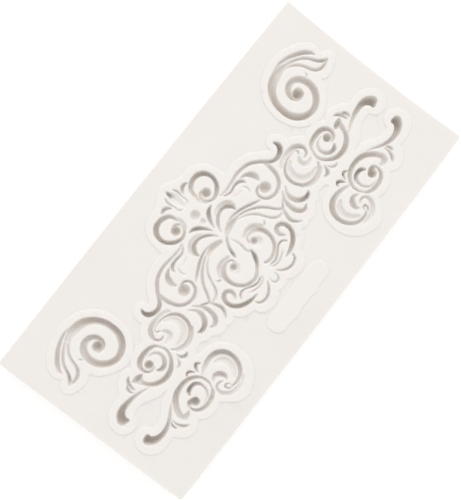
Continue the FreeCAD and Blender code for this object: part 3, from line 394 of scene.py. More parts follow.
        (7.2, 27.7, 0.25, 0.9),
    ],
    "crest_ring": [
        (5.5, 22.3, 0.5, 1.3), (5.6, 24.1, 0.65, 1.8), (6.5, 25.7, 0.8, 2.3), (8.1, 26.6, 0.9, 2.7),
        (10, 27, 0.95, 2.9), (12, 26.6, 1, 3.2), (13.6, 25.3, 0.95, 3.3), (14.4, 23.5, 0.8, 3.2),
        (14.3, 21.4, 0.7, 3), (13.3, 19.5, 0.75, 2.9), (11.6, 18, 0.75, 2.7), (9.5, 17.2, 0.6, 2.2),
        (7.7, 17.5, 0.5, 1.8), (6.4, 18.7, 0.5, 1.6), (6, 20.2, 0.45, 1.5), (6.6, 21.5, 0.45, 1.6),
        (7.8, 22, 0.5, 1.8),
    ],
    "crest_ring_shoulder": [
        (4.9, 22.8, 0.5, 0.8), (5, 20.8, 0.9, 1.3), (5.8, 18.6, 0.8, 1.2),
    ],
    "crest_fan_leaf": [
        (0.6, 10.4, 0.25, 0.9), (1.3, 12.2, 0.5, 1.8), (2.2, 13.8, 0.7, 2.6), (3.3, 15.1, 0.8, 3),
        (4.7, 16, 0.6, 2.5), (6.3, 16.3, 0.25, 1),
    ],
    "crest_hook": [
        (0.9, 7.4, 0.25, 0.7), (1.6, 9, 0.4, 1.3), (2.7, 10.4, 0.55, 2), (4.3, 11.7, 0.6, 2.3),
        (6.2, 12.4, 0.65, 2.6), (8.2, 12.4, 0.8, 3), (9.7, 11.6, 0.9, 3.4), (10.6, 10.2, 0.8, 3.1),
        (10.6, 8.8, 0.4, 1.7),
    ],
    "crest_hook_shoulder": [
        (4.4, 12.8, 0.5, 0.7), (6.5, 13.5, 0.9, 1.1), (8.8, 13.2, 1.2, 1.6), (10.7, 11.8, 1.2, 1.8),
        (11.3, 10.1, 0.7, 1.1),
    ],
    "band_1": [
        (4.6, 7.7, 0.3, 1), (7, 8, 0.35, 1.4), (9.2, 7.8, 0.45, 1.7), (11.7, 7.1, 0.55, 2),
        (14.2, 6, 0.55, 2), (16.6, 4.8, 0.5, 1.7), (18.6, 3.8, 0.25, 1),
    ],
    "band_2": [
        (6.5, 7, 0.3, 0.9), (9.3, 6.5, 0.4, 1.3), (12, 5.5, 0.45, 1.5), (14.5, 4, 0.5, 1.6),
        (16.7, 2.1, 0.5, 1.6), (18.3, -0.1, 0.5, 1.6), (19.6, -2.4, 0.5, 1.6), (21.1, -4.4, 0.45, 1.4),
    ],
    "band_3": [
        (8, 5.9, 0.25, 0.7), (10.6, 4.7, 0.35, 1), (12.7, 3.1, 0.4, 1.2), (14.2, 1.1, 0.45, 1.3),
        (15.2, -1.1, 0.45, 1.3), (16.3, -3.4, 0.5, 1.4), (18, -5, 0.5, 1.3), (19.7, -5.3, 0.4, 1.1),
        (21.1, -4.9, 0.3, 0.8),
    ],
    "band_root": [
        (1.8, 5.6, 0.8, 1.4), (3.8, 6.4, 1.2, 2.2), (6.2, 6.7, 1.1, 2.2), (8.6, 6.3, 0.6, 1.4),
    ],
    "heart_ring": [
        (4.4, -2.9, 0.35, 1.2), (4.6, -1.5, 0.4, 1.4), (5.9, -0.8, 0.5, 1.7), (7.8, -0.9, 0.65, 2.2),
        (9.4, -1.7, 0.9, 2.6), (10.6, -3.2, 1, 2.9), (11, -5.2, 0.8, 2.4), (10.8, -7.2, 0.7, 2.2),
        (10, -9.1, 0.7, 2), (8.5, -10.8, 0.7, 2), (6.4, -11.9, 0.7, 2), (4, -12.1, 0.6, 1.8),
        (2.3, -11.4, 0.5, 1.4),
    ],
    "heart_ring_shoulder": [
        (4.6, 0.2, 0.6, 1.1), (7.2, 0.6, 1, 1.7), (9.6, -0.2, 1.2, 2.1), (11.4, -2.2, 0.9, 1.6),
    ],
    "heart_notch": [
        (11.9, -2.9, 0.25, 0.8), (13, -2.7, 0.4, 1.3), (13.7, -1.9, 0.25, 0.8),
    ],
    "hook": [
        (14.4, -10.9, 0.35, 1.2), (13.6, -9.6, 0.7, 1.8), (13.6, -8.1, 0.85, 2), (14.6, -7.1, 0.85, 2.2),
        (16.2, -7.2, 0.85, 2.4), (17.3, -8.6, 0.8, 2.6), (17.5, -10.3, 0.8, 2.8), (16.9, -12.1, 0.8, 3),
        (15.6, -13.7, 0.85, 3.2), (13.5, -15, 0.8, 3.2), (11, -15.8, 0.6, 2.5), (8.5, -16.1, 0.25, 1),
    ],
    "curl_1": [
        (3, -13.4, 0.3, 1.3), (4.8, -13.8, 0.4, 1.8), (6.6, -13.4, 0.4, 2), (8.3, -12.4, 0.4, 2),
        (9.8, -11.5, 0.35, 1.8), (11.4, -11.2, 0.35, 1.8), (12.6, -11.8, 0.35, 1.6), (13.2, -12.8, 0.25, 1.2),
    ],
    "curl_2": [
        (2.2, -13.6, 0.25, 0.7), (3.5, -14.7, 0.35, 1.1), (5.3, -15.1, 0.35, 1.2), (7, -14.8, 0.35, 1.2),
        (8.6, -14.2, 0.3, 1), (9.8, -13.6, 0.2, 0.6),
    ],
    "petal": [
        (2.5, -16.2, 0.25, 0.8), (3.8, -17.8, 0.4, 1.4), (5.4, -19, 0.5, 1.8), (7.3, -19.6, 0.5, 2),
        (9.2, -19.3, 0.5, 1.8), (10.4, -18.5, 0.4, 1.6), (10.8, -17.3, 0.3, 1),
    ],
}

AXIAL_GROOVES = {
    "crest_centre": [
        (0, 31.7, 0.2, 1.4), (0, 30.9, 0.55, 3), (0, 29.8, 0.95, 2.4), (0, 28, 1, 1.4),
        (0, 25.5, 0.9, 1), (0, 23.2, 0.4, 0.5),
    ],
    "crest_body": [
        (0, 29.8, 1.2, 0.8), (0, 28, 2.1, 1), (0, 26, 1.5, 0.9), (0, 23.8, 0.8, 0.6),
    ],
    "ribbon_upper": [
        (4, 6.3, 0.5, 1), (2, 5.7, 0.5, 1.2), (0.3, 4.5, 0.5, 1.4), (-1, 2.9, 0.5, 1.6),
        (-1.9, 1.1, 0.55, 2), (-2.4, -0.5, 0.6, 2.5), (-2.9, -2, 0.25, 1.2),
    ],
    "ribbon_lower": [
        (2.6, -4.6, 0.3, 1.4), (2.1, -6.4, 0.7, 2.8), (1.2, -8, 0.75, 3.2), (0, -9.5, 0.6, 2.4),
        (-2, -11, 0.5, 1.6), (-4.2, -12, 0.5, 1.3),
    ],
    "drop_foot": [
        (-1.3, -16.2, 0.25, 0.5), (-1.45, -17.5, 0.35, 0.9), (-1, -18.5, 0.4, 1.2), (0, -18.95, 0.42, 1.3),
        (1, -18.5, 0.4, 1.2), (1.45, -17.5, 0.35, 0.9), (1.3, -16.2, 0.25, 0.5),
    ],
    "ribbon_edge": [
        (1.2, 2.8, 0.3, 0.6), (1.7, 1, 0.4, 0.9), (1.8, -1, 0.45, 1.1), (1.5, -3, 0.45, 1.2),
        (1.9, -4.8, 0.35, 1),
    ],
}

# How far a groove's bed leans to the left of its run, as a share of its half width.
LEANS = {
    "corner_band": -0.35,
    "volute": 0.3,
    "cscroll_rim": -0.3,
    "ring_top": 0.3,
    "ring_base": -0.3,
    "low_cscroll_rim": -0.35,
    "low_ring_rim": 0.3,
    "low_ring_base": -0.3,
    "crest_ring": 0.3,
    "heart_ring": 0.3,
    "hook": 0.3,
}

# Round hollows: along, across, half length, half width, depth, turn in degrees.
PAIRED_HOLLOWS = {
    "corner_eye": (57.5, 16.8, 2, 1.9, 4.2, 0),
    "volute_bowl": (23.4, 5.2, 2.2, 2.1, 3.2, -30),
    "ring_eye": (51.6, -1.4, 1.65, 1.6, 3.4, 0),
    "low_ring_eye": (51.7, -22.2, 1.65, 1.6, 4, 0),
    "comma_ball": (72.5, -6.1, 1.8, 1.7, 5, 0),
    "comma_hook": (71.7, -7.3, 0.95, 0.75, 3.4, 10),
    "low_comma_ball": (72.6, -17.4, 1.65, 1.6, 4.9, 0),
    "low_comma_hook": (71.7, -16.5, 0.95, 0.8, 3.4, 0),
    "crest_eye": (8.7, 20.5, 1.8, 1.75, 3.4, 0),
    "heart_eye": (6, -3.6, 1.45, 1.35, 2.8, 0),
    "heart_floor": (6.1, -4.3, 2.5, 1.8, 1.1, -45),
}

AXIAL_HOLLOWS = {
    "pearl": (0, 18.6, 1.7, 1.8, 2, 0),
    "pearl_small": (0, 15, 0.95, 1.15, 1.2, 0),
}

# ---------------------------------------------------------------- sizes of the slab, in metres
SLAB_LENGTH = 165.0 * MM
SLAB_WIDTH = 80.0 * MM
SIDE_LEAN = 1.1 * MM
SIDE_BOW = 0.45 * MM
END_HOLLOW = 0.8 * MM
LAND_RISE = 0.4 * MM
ORNAMENT_SHIFT = -0.4               # mm towards the crest's side of the middle
EDGE_ROUND = 0.35 * MM
CORNER_ROUND = 0.8 * MM
HOLLOWING = 6.0                     # how late along the slab the right-hand end starts to bow in
FACE = high.z                       # top of the raised lands
SHEET = FACE - LAND_RISE            # face of the sheet round them
GRID_STEP = 0.18 * MM
PATH_PITCH = 0.25 * MM
TUBE_SIDES = 28
BALL_ROUNDS = 4                     # times the balls at the ends are divided
SHORTEST_RUN = 0.02                 # mm, so that a round hollow still has a heading
PROBE_START = 0.02                  # metres under the face, well below every cavity
MOST_TRIANGLES = 196000


# ---------------------------------------------------------------- paths that the relief follows
def path_object(name, paths, cyclic):
    """A curve object of runs.  Depth is carried as height below zero and lean as the run's tilt."""
    data = bpy.data.curves.new(name, "CURVE")
    data.dimensions = "3D"
    for stations, lean in paths:
        run = data.splines.new("POLY")
        run.points.add(len(stations) - 1)
        for point, (x, y, half, deep) in zip(run.points, stations):
            point.co = (x * MM, (y + ORNAMENT_SHIFT) * MM, -deep * MM, 1)
            point.radius = half * MM
            point.tilt = lean
        run.use_cyclic_u = cyclic
    made = bpy.data.objects.new(name, data)
    bpy.context.scene.collection.objects.link(made)
    return made


def other_side(stations):
    """The same run mirrored about the ornament's axis."""
    return [(-x, *rest) for x, *rest in stations]


def hollow_run(x, y, half_long, half_wide, deep, turn):
    """A round hollow as a short run between the two ends of its long axis."""
    reach = max(half_long - half_wide, SHORTEST_RUN)
    dx, dy = reach * math.cos(math.radians(turn)), reach * math.sin(math.radians(turn))
    return [(x - dx, y - dy, half_wide, deep), (x, y, half_wide, deep), (x + dx, y + dy, half_wide, deep)]


def cavity_runs():
    """Every groove and hollow with its lean, on both sides of the axis."""
    runs = []
    for name, stations in PAIRED_GROOVES.items():
        lean = LEANS.get(name, 0.0)
        runs += [(stations, lean), (other_side(stations), -lean)]
    for name, stations in AXIAL_GROOVES.items():
        runs.append((stations, LEANS.get(name, 0.0)))
    for hollow in PAIRED_HOLLOWS.values():
        run = hollow_run(*hollow)
        runs += [(run, 0.0), (other_side(run), 0.0)]
    runs += [(hollow_run(*hollow), 0.0) for hollow in AXIAL_HOLLOWS.values()]
    return runs


def smooth_lobe(points, per_gap=8):
    """Points along a smooth line through the given ones, leaving out the last."""
    if len(points) == 2:
        return [points[0]]
    p = [np.array(q, float) for q in points]
    p = [2 * p[0] - p[1]] + p + [2 * p[-1] - p[-2]]
    line = []
    for a, b, c, d in zip(p, p[1:], p[2:], p[3:]):
        for i in range(per_gap):
            t = i / per_gap
            spot = 0.5 * (2 * b + (c - a) * t + (2 * a - 5 * b + 4 * c - d) * t ** 2
                          + (3 * b - a - 3 * c + d) * t ** 3)
            line.append(tuple(spot))
    return line


def land_outline(lobes):
    """One closed outline, with a corner wherever two lobes meet."""
    line = []
    for lobe in lobes:
        line += smooth_lobe(lobe)
    return [(x, y, 1.0, 0.0) for x, y in line], 0.0


def flipped(lobes):
    """The lobes mirrored about the axis, in the order that closes the outline."""
    return [[(-x, y) for x, y in reversed(lobe)] for lobe in reversed(lobes)]


def land_outlines():
    """The four raised lands: ornament, two corner scrolls and label panel."""
    return [
        land_outline(ORNAMENT_LAND + flipped(ORNAMENT_LAND)),
        land_outline(CORNER_LAND),
        land_outline(flipped(CORNER_LAND)),
        land_outline(LABEL_PANEL + flipped(LABEL_PANEL)),
    ]


# ---------------------------------------------------------------- node tree that presses the relief
class Tree:
    """Short hand for building a geometry node tree."""

    def __init__(self, name):
        self.group = bpy.data.node_groups.new(name, "GeometryNodeTree")
        self.nodes = self.group.nodes

    def named_input(self, name, kind, default=None):
        socket = self.group.interface.new_socket(name, in_out="INPUT", socket_type=kind)
        if default is not None:
            socket.default_value = default
        return socket.identifier

    def add(self, kind, links=(), **settings):
        node = self.nodes.new(kind)
        for key, value in settings.items():
            setattr(node, key, value)
        for slot, source in dict(links).items():
            if hasattr(source, "is_output"):
                self.group.links.new(source, node.inputs[slot])
            else:
                node.inputs[slot].default_value = source
        return node

    def maths(self, operation, *values):
        node = self.add("ShaderNodeMath", {i: v for i, v in enumerate(values)}, operation=operation)
        return node.outputs[0]

    def position(self):
        return self.add("GeometryNodeInputPosition").outputs[0]

    def parts_of(self, vector):
        return self.add("ShaderNodeSeparateXYZ", {0: vector}).outputs

    def vector(self, x, y, z):
        return self.add("ShaderNodeCombineXYZ", {0: x, 1: y, 2: z}).outputs[0]

    def reading(self, name, kind="FLOAT"):
        return self.add("GeometryNodeInputNamedAttribute", {0: name}, data_type=kind).outputs[0]

    def keep(self, geometry, name, value, kind="FLOAT"):
        node = self.add("GeometryNodeStoreNamedAttribute", {"Geometry": geometry, "Name": name},
                        data_type=kind, domain="POINT")
        self.group.links.new(value, node.inputs["Value"])
        return node.outputs[0]

    def place(self, geometry, position):
        return self.add("GeometryNodeSetPosition", {"Geometry": geometry, "Position": position}).outputs[0]


def relief_tree():
    """Grooves swept along their paths, pressed into a fine grid together with the raised lands."""
    tree = Tree("press_relief")
    ids = {
        "paths": tree.named_input("Groove Paths", "NodeSocketObject"),
        "lands": tree.named_input("Land Outlines", "NodeSocketObject"),
        "length": tree.named_input("Face Length", "NodeSocketFloat"),
        "width": tree.named_input("Face Width", "NodeSocketFloat"),
        "stations_along": tree.named_input("Stations Along", "NodeSocketInt"),
        "stations_across": tree.named_input("Stations Across", "NodeSocketInt"),
        "lean": tree.named_input("Side Lean", "NodeSocketFloat"),
        "bow": tree.named_input("Side Bow", "NodeSocketFloat"),
        "hollow": tree.named_input("End Hollow", "NodeSocketFloat"),
        "rise": tree.named_input("Land Rise", "NodeSocketFloat"),
        "sheet": tree.named_input("Sheet Height", "NodeSocketFloat"),
        "pitch": tree.named_input("Path Pitch", "NodeSocketFloat"),
        "roundness": tree.named_input("Groove Roundness", "NodeSocketFloat"),
        "lip_soft": tree.named_input("Lip Softness", "NodeSocketInt"),
        "land_soft": tree.named_input("Land Softness", "NodeSocketInt"),
        "finish": tree.named_input("Finish", "NodeSocketMaterial"),
    }
    tree.group.interface.new_socket("Geometry", in_out="OUTPUT", socket_type="NodeSocketGeometry")
    given = tree.add("NodeGroupInput").outputs

    # grooves: tubes along the paths, with a ball at each end
    paths = tree.add("GeometryNodeObjectInfo", {"Object": given["Groove Paths"]}).outputs["Geometry"]
    smooth = tree.add("GeometryNodeCurveSplineType", {0: paths}, spline_type="CATMULL_ROM").outputs[0]
    even = tree.add("GeometryNodeResampleCurve",
                    {"Curve": smooth, "Length": given["Path Pitch"]}, mode="LENGTH").outputs[0]
    depth = tree.maths("MULTIPLY", tree.parts_of(tree.position())[2], -1.0)
    even = tree.keep(even, "sunk", depth)
    even = tree.keep(even, "half", tree.add("GeometryNodeInputRadius").outputs[0])
    x, y, z = tree.parts_of(tree.position())
    flat = tree.place(even, tree.vector(x, y, 0.0))
    ahead_x, ahead_y, _ = tree.parts_of(tree.add("GeometryNodeInputTangent").outputs[0])
    lean = tree.maths("MULTIPLY", tree.add("GeometryNodeInputCurveTilt").outputs[0], tree.reading("half"))
    leaning = tree.vector(tree.maths("MULTIPLY", tree.maths("MULTIPLY", ahead_y, -1.0), lean),
                          tree.maths("MULTIPLY", ahead_x, lean), 0.0)
    flat = tree.keep(flat, "leaning", leaning, "FLOAT_VECTOR")
    ring = tree.add("GeometryNodeCurvePrimitiveCircle", {"Resolution": TUBE_SIDES, "Radius": 1.0}).outputs[0]
    tubes = tree.add("GeometryNodeCurveToMesh",
                     {"Curve": flat, "Profile Curve": ring, "Fill Caps": True,
                      "Scale": tree.reading("half")}).outputs[0]
    ball = tree.add("GeometryNodeMeshIcoSphere", {"Radius": 1.0, "Subdivisions": BALL_ROUNDS}).outputs[0]
    tips = tree.add("GeometryNodeCurveEndpointSelection").outputs[0]
    balls = tree.add("GeometryNodeInstanceOnPoints",
                     {"Points": flat, "Selection": tips, "Instance": ball,
                      "Scale": tree.reading("half")}).outputs[0]
    balls = tree.add("GeometryNodeRealizeInstances", {0: balls}).outputs[0]
    joined = tree.add("GeometryNodeJoinGeometry")
    tree.group.links.new(tubes, joined.inputs[0])
    tree.group.links.new(balls, joined.inputs[0])
    x, y, z = tree.parts_of(tree.position())
    share = tree.maths("DIVIDE", tree.maths("ABSOLUTE", z), tree.reading("half"))
    fall = tree.maths("MULTIPLY", tree.maths("POWER", share, given["Groove Roundness"]), tree.reading("sunk"))
    fall = tree.maths("MULTIPLY", fall, tree.maths("SIGN", z))
    aside_x, aside_y, _ = tree.parts_of(tree.reading("leaning", "FLOAT_VECTOR"))
    low_share = tree.maths("MULTIPLY", share, share)
    cutters = tree.place(joined.outputs[0], tree.vector(
        tree.maths("MULTIPLY_ADD", aside_x, low_share, x),
        tree.maths("MULTIPLY_ADD", aside_y, low_share, y), fall))

    # the face: a grid drawn out to the slab's own outline
    grid = tree.add("GeometryNodeMeshGrid", {
        "Size X": given["Face Length"], "Size Y": given["Face Width"],
        "Vertices X": given["Stations Along"], "Vertices Y": given["Stations Across"]}).outputs[0]
    x, y, z = tree.parts_of(tree.position())
    along = tree.maths("DIVIDE", tree.maths("MULTIPLY", x, 2.0), given["Face Length"])
    across = tree.maths("DIVIDE", tree.maths("MULTIPLY", y, 2.0), given["Face Width"])
    slant = tree.maths("MULTIPLY", across, tree.maths("MULTIPLY", given["Side Lean"], -0.5))
    right = tree.maths("POWER", tree.maths("MAXIMUM", along, 0.0), HOLLOWING)
    hollowing = tree.maths("MULTIPLY", tree.maths("SUBTRACT", 1.0, tree.maths("MULTIPLY", across, across)),
                           tree.maths("MULTIPLY", given["End Hollow"], right))
    bowing = tree.maths("MULTIPLY", tree.maths("SUBTRACT", 1.0, tree.maths("MULTIPLY", along, along)),
                        tree.maths("MULTIPLY", given["Side Bow"], across))
    shaped = tree.place(grid, tree.vector(
        tree.maths("SUBTRACT", tree.maths("ADD", x, slant), hollowing),
        tree.maths("ADD", y, bowing), 0.0))

    # how deep the cutters reach under each point of the face
    x, y, z = tree.parts_of(tree.position())
    ray = {"Source Position": tree.vector(x, y, -PROBE_START), "Ray Direction": (0.0, 0.0, 1.0),
           "Ray Length": 2 * PROBE_START}
    probe = tree.add("GeometryNodeRaycast", dict(ray, **{"Target Geometry": cutters}))
    reach = tree.maths("MINIMUM", tree.parts_of(probe.outputs["Hit Position"])[2], 0.0)
    reach = tree.maths("MULTIPLY", reach, probe.outputs["Is Hit"])
    face = tree.keep(shaped, "cut", reach)
    lands = tree.add("GeometryNodeObjectInfo", {"Object": given["Land Outlines"]}).outputs["Geometry"]
    filled = tree.add("GeometryNodeFillCurve", {0: lands}).outputs[0]
    probe = tree.add("GeometryNodeRaycast", dict(ray, **{"Target Geometry": filled}))
    face = tree.keep(face, "raised", probe.outputs["Is Hit"])
    softened = tree.add("GeometryNodeBlurAttribute",
                        {"Value": tree.reading("cut"), "Iterations": given["Lip Softness"]}).outputs[0]
    face = tree.keep(face, "cavity_depth", softened)
    eased = tree.add("GeometryNodeBlurAttribute",
                     {"Value": tree.reading("raised"), "Iterations": given["Land Softness"]}).outputs[0]
    face = tree.keep(face, "land", eased)
    x, y, z = tree.parts_of(tree.position())
    lift = tree.maths("ADD", given["Sheet Height"],
                      tree.maths("MULTIPLY", given["Land Rise"], tree.reading("land")))
    height = tree.maths("ADD", lift, tree.reading("cavity_depth"))
    pressed = tree.place(face, tree.vector(x, y, height))
    whole = tree.add("GeometryNodeRealizeInstances", {0: pressed}).outputs[0]
    finished = tree.add("GeometryNodeSetMaterial",
                        {"Geometry": whole, "Material": given["Finish"]}).outputs[0]
    tree.group.links.new(finished, tree.add("NodeGroupOutput").inputs[0])
    return tree.group, ids


def pressed_face(paths, lands, finish):
    """The upper face as a grid of points, with the depth of the cavities kept on it."""
    tree, ids = relief_tree()
    length = SLAB_LENGTH - 2 * EDGE_ROUND
    width = SLAB_WIDTH - 2 * EDGE_ROUND
    along = round(length / GRID_STEP) + 1
    across = round(width / GRID_STEP) + 1
    host = bpy.data.objects.new("pressed_face", bpy.data.meshes.new("pressed_face"))
    bpy.context.scene.collection.objects.link(host)
    press = host.modifiers.new("press", "NODES")
    press.node_group = tree
    values = {
        "paths": paths, "lands": lands, "length": length, "width": width,
        "stations_along": along, "stations_across": across,
        "lean": SIDE_LEAN, "bow": SIDE_BOW, "hollow": END_HOLLOW,
        "rise": LAND_RISE, "sheet": SHEET, "pitch": PATH_PITCH, "roundness": GROOVE_ROUNDNESS,
        "lip_soft": LIP_SOFTNESS, "land_soft": LAND_SOFTNESS, "finish": finish,
    }
    for key, value in values.items():
        press[ids[key]] = value
    bpy.context.view_layer.update()
    graph = bpy.context.evaluated_depsgraph_get()
    mesh = bpy.data.meshes.new_from_object(host.evaluated_get(graph))
    host.modifiers.remove(press)
    bpy.data.objects.remove(host)
    return mesh, along, across


# ---------------------------------------------------------------- the slab as one closed skin
def rim_of(grid):
    """Numbers of the grid's outer points, walked round the edge once."""
    return np.concatenate([grid[:-1, 0], grid[-1, :-1], grid[:0:-1, -1], grid[0, :0:-1]])


def round_corner(points, block):
    """Round one upright corner: block holds the grid's point numbers inwards from it."""
    across = np.linspace(1, 0, len(block))[:, None]
    along = across.T
    centre = points[block[-1, -1]]
    way_along = points[block[0, -1]] - centre
    way_across = points[block[-1, 0]] - centre
    share_along = (across * np.sqrt(1 - along ** 2 / 2))[..., None]
    share_across = (along * np.sqrt(1 - across ** 2 / 2))[..., None]
    points[block] = centre + way_along * share_along + way_across * share_across


def closed_slab(face, along, across):
    """The pressed face, rolled over its edge, with walls and a flat underside."""
    points = np.empty(len(face.vertices) * 3)
    face.vertices.foreach_get("co", points)
    points = points.reshape(-1, 3)
    quads = np.empty(len(face.loops), int)
    face.loops.foreach_get("vertex_index", quads)
    quads = quads.reshape(-1, 4)

    grid = np.arange(along * across).reshape(along, across)
    reach = round((CORNER_ROUND - EDGE_ROUND) / GRID_STEP) + 1
    for corner in (grid, grid[::-1], grid[:, ::-1], grid[::-1, ::-1]):
        round_corner(points, corner[:reach, :reach])
    rim = rim_of(grid)
    edge = points[rim]
    area = np.cross(edge[:, :2], np.roll(edge[:, :2], -1, axis=0)).sum()
    if area < 0:
        rim, edge = rim[::-1], edge[::-1]
    ahead = np.roll(edge, -1, axis=0) - np.roll(edge, 1, axis=0)
    outward = np.stack([ahead[:, 1], -ahead[:, 0]], axis=1)
    outward /= np.linalg.norm(outward, axis=1, keepdims=True)
    # roll over the edge, down the wall and under
    turns = [math.radians(a) for a in (22.5, 45, 67.5, 90)]
    heights = [(t, SHEET - EDGE_ROUND * (1 - math.cos(t))) for t in turns]
    heights += [(t, low.z + EDGE_ROUND * (1 - math.cos(t))) for t in reversed([0.0] + turns)]
    rings = []
    for t, height in heights:
        ring = edge.copy()
        ring[:, :2] += outward * EDGE_ROUND * math.sin(t)
        ring[:, 2] = height
        rings.append(ring)

    faces = [quads]
    before = rim
    count = len(points)
    everything = [points]
    for ring in rings:
        now = np.arange(len(ring)) + count
        faces.append(np.stack([before, now, np.roll(now, -1), np.roll(before, -1)], axis=1))
        everything.append(ring)
        count += len(ring)
        before = now
    everything = np.concatenate(everything)
    faces = np.concatenate(faces)
    mesh = bpy.data.meshes.new("mould_slab")
    loops = np.concatenate([faces.ravel(), before[::-1]])
    starts = np.concatenate([np.arange(len(faces)) * 4, [len(faces) * 4]])
    mesh.vertices.add(len(everything))
    mesh.vertices.foreach_set("co", everything.ravel())
    mesh.loops.add(len(loops))
    mesh.loops.foreach_set("vertex_index", loops)
    mesh.polygons.add(len(starts))
    mesh.polygons.foreach_set("loop_start", starts)
    mesh.update(calc_edges=True)
    for name in ("cavity_depth", "land"):
        values = np.zeros(len(everything))
        face.attributes[name].data.foreach_get("value", values[:len(face.vertices)])
        mesh.attributes.new(name, "FLOAT", "POINT").data.foreach_set("value", values)
    mesh.validate()
    return mesh


def thinned(mesh, most):
    """The same skin with its flat stretches drawn as few large triangles, shaded smooth."""
    mesh.polygons.foreach_set("use_smooth", [True] * len(mesh.polygons))
    worker = bpy.data.objects.new("thinning", mesh)
    bpy.context.scene.collection.objects.link(worker)
    triangles = sum(len(p.vertices) - 2 for p in mesh.polygons)
    if triangles > most:
        thin = worker.modifiers.new("thin", "DECIMATE")
        thin.decimate_type = "COLLAPSE"
        thin.ratio = most / triangles
        thin.use_collapse_triangulate = True
    # the large flat faces set the shading where they meet a roll or a lip
    even = worker.modifiers.new("even", "WEIGHTED_NORMAL")
    even.mode = "FACE_AREA"
    even.weight = 100
    bpy.context.view_layer.update()
    graph = bpy.context.evaluated_depsgraph_get()
    result = bpy.data.meshes.new_from_object(worker.evaluated_get(graph))
    bpy.data.objects.remove(worker)
    points = np.empty(len(result.vertices) * 3)
    result.vertices.foreach_get("co", points)
    result.vertices.foreach_set("co", np.clip(points.reshape(-1, 3), low, high).ravel())
    return result


# ---------------------------------------------------------------- silicone
def silicone():
    """Off-white silicone rubber: satin, a little translucent, with painted shade, darker and warmer, down in
    the cavities.
    """
    made = bpy.data.materials.new("off_white_silicone")
    made.use_nodes = True
    nodes, links = made.node_tree.nodes, made.node_tree.links
    nodes.clear()

    def add(kind, **settings):
        node = nodes.new(kind)
        for key, value in settings.items():
            setattr(node, key, value)
        return node

    where = add("ShaderNodeTexCoord").outputs["Object"]
    broad = add("ShaderNodeTexNoise")
    broad.inputs["Scale"].default_value = PATCHES_PER_METRE
    broad.inputs["Detail"].default_value = 3
    links.new(where, broad.inputs["Vector"])
    tone = add("ShaderNodeValToRGB")
    tone.color_ramp.elements[0].position = 0.35
    tone.color_ramp.elements[0].color = (*SHEET_COOL, 1)
    tone.color_ramp.elements[1].position = 0.7
    tone.color_ramp.elements[1].color = (*SHEET_WARM, 1)
    links.new(broad.outputs["Fac"], tone.inputs["Fac"])

    # painted light: the raised lands are painted a little lighter than the sheet round them
    land = add("ShaderNodeAttribute", attribute_name="land")
    lands_painted_lighter = add("ShaderNodeMix", data_type="RGBA")
    links.new(land.outputs["Fac"], lands_painted_lighter.inputs["Factor"])
    links.new(tone.outputs["Color"], lands_painted_lighter.inputs["A"])
    lands_painted_lighter.inputs["B"].default_value = (*LAND_PAINTED_LIGHT, 1)

    # painted shade: the deeper the cavity, the more its colour moves to the darker, warmer painted shade
    depth = add("ShaderNodeAttribute", attribute_name="cavity_depth")
    deepness = add("ShaderNodeMapRange")
    deepness.inputs["From Min"].default_value = -SHADE_PAINTED_FROM
    deepness.inputs["From Max"].default_value = -SHADE_PAINTED_TO
    deepness.inputs["To Min"].default_value = 0
    deepness.inputs["To Max"].default_value = 1
    links.new(depth.outputs["Fac"], deepness.inputs["Value"])
    painted_shade = add("ShaderNodeMix", data_type="RGBA")
    links.new(deepness.outputs["Result"], painted_shade.inputs["Factor"])
    links.new(lands_painted_lighter.outputs["Result"], painted_shade.inputs["A"])
    painted_shade.inputs["B"].default_value = (*CAVITY_PAINTED_SHADE, 1)

    grain = add("ShaderNodeTexNoise")
    grain.inputs["Scale"].default_value = GRAIN_PER_METRE
    grain.inputs["Detail"].default_value = 4
    grain.inputs["Roughness"].default_value = 0.6
    links.new(where, grain.inputs["Vector"])
    sag = add("ShaderNodeTexNoise")
    sag.inputs["Scale"].default_value = SAG_PER_METRE
    sag.inputs["Detail"].default_value = 2
    links.new(where, sag.inputs["Vector"])
    fine = add("ShaderNodeBump")
    fine.inputs["Strength"].default_value = 0.25
    fine.inputs["Distance"].default_value = GRAIN_HEIGHT
    links.new(grain.outputs["Fac"], fine.inputs["Height"])
    wavy = add("ShaderNodeBump")
    wavy.inputs["Strength"].default_value = 0.35
    wavy.inputs["Distance"].default_value = SAG_HEIGHT
    links.new(sag.outputs["Fac"], wavy.inputs["Height"])
    links.new(fine.outputs["Normal"], wavy.inputs["Normal"])

    shine = add("ShaderNodeMapRange")
    shine.inputs["To Min"].default_value = GLOSSY
    shine.inputs["To Max"].default_value = DULL
    links.new(sag.outputs["Fac"], shine.inputs["Value"])

    skin = add("ShaderNodeBsdfPrincipled")
    links.new(painted_shade.outputs["Result"], skin.inputs["Base Color"])
    links.new(shine.outputs["Result"], skin.inputs["Roughness"])
    links.new(wavy.outputs["Normal"], skin.inputs["Normal"])
    skin.inputs["IOR"].default_value = 1.41
    skin.inputs["Specular IOR Level"].default_value = 0.4
    skin.inputs["Subsurface Weight"].default_value = 0.35
    skin.inputs["Subsurface Radius"].default_value = (1.0, 0.72, 0.55)
    skin.inputs["Subsurface Scale"].default_value = 1.2 * MM
    out = add("ShaderNodeOutputMaterial")
    links.new(skin.outputs["BSDF"], out.inputs["Surface"])
    return made


# ---------------------------------------------------------------- make the mould
finish = silicone()
groove_paths = path_object("groove_paths", cavity_runs(), False)
outlines = path_object("land_outlines", land_outlines(), True)
face_mesh, stations_along, stations_across = pressed_face(groove_paths, outlines, finish)
bpy.data.objects.remove(groove_paths)
bpy.data.objects.remove(outlines)

slab_mesh = thinned(closed_slab(face_mesh, stations_along, stations_across), MOST_TRIANGLES)
slab_mesh.materials.clear()
slab_mesh.materials.append(finish)
slab = bpy.data.objects.new("silicone_slab", slab_mesh)
bpy.context.scene.collection.objects.link(slab)
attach(slab, "root")
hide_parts("mould_body")


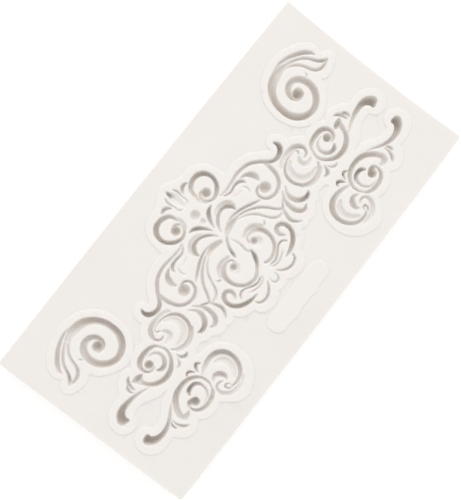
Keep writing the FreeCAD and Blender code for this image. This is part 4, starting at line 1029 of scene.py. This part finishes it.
# ---------------------------------------------------------------- bench, light and camera
def bench():
    """A plain pale floor under the mould."""
    bpy.ops.mesh.primitive_plane_add(size=BENCH_SIZE, location=(0, 0, low.z))
    floor = bpy.context.object
    floor.name = "bench"
    paint = bpy.data.materials.new("pale_bench")
    paint.use_nodes = True
    surface = paint.node_tree.nodes["Principled BSDF"]
    surface.inputs["Base Color"].default_value = (BENCH_TONE, BENCH_TONE, BENCH_TONE, 1)
    surface.inputs["Roughness"].default_value = 0.9
    surface.inputs["Specular IOR Level"].default_value = 0.1
    # painted light: the bench glows faintly, which thins the mould's shadow on it
    surface.inputs["Emission Color"].default_value = (1, 1, 1, 1)
    surface.inputs["Emission Strength"].default_value = BENCH_GLOW
    floor.data.materials.append(paint)
    return floor


def soft_light(name, azimuth, elevation, distance, size, watts):
    """A square soft box that faces the mould."""
    lamp = bpy.data.lights.new(name, "AREA")
    lamp.size = size
    lamp.energy = watts
    a, e = math.radians(azimuth), math.radians(elevation)
    way = Vector((math.cos(a) * math.cos(e), math.sin(a) * math.cos(e), math.sin(e)))
    box = bpy.data.objects.new(name, lamp)
    box.location = Vector((0, 0, FACE)) + way * distance
    box.rotation_euler = way.to_track_quat("Z", "Y").to_euler()
    bpy.context.scene.collection.objects.link(box)


bench()
soft_light("window", WINDOW_AZIMUTH, WINDOW_ELEVATION, WINDOW_DISTANCE, WINDOW_SIZE, WINDOW_WATTS)
world = bpy.data.worlds.new("studio")
world.use_nodes = True
sky = world.node_tree.nodes["Background"]
sky.inputs["Color"].default_value = (1, 1, 1, 1)
sky.inputs["Strength"].default_value = SKY_STRENGTH
bpy.context.scene.world = world
bpy.context.scene.view_settings.view_transform = "Standard"

view = bpy.data.cameras.new("camera")
view.lens = CAMERA_LENS
view.sensor_width = CAMERA_SENSOR
view.clip_start = 0.01
camera = bpy.data.objects.new("camera", view)
camera.location = (CAMERA_PLACE[0] * MM, CAMERA_PLACE[1] * MM, FACE + CAMERA_PLACE[2] * MM)
camera.rotation_euler = [math.radians(angle) for angle in CAMERA_TURN]
bpy.context.scene.collection.objects.link(camera)
bpy.context.scene.camera = camera
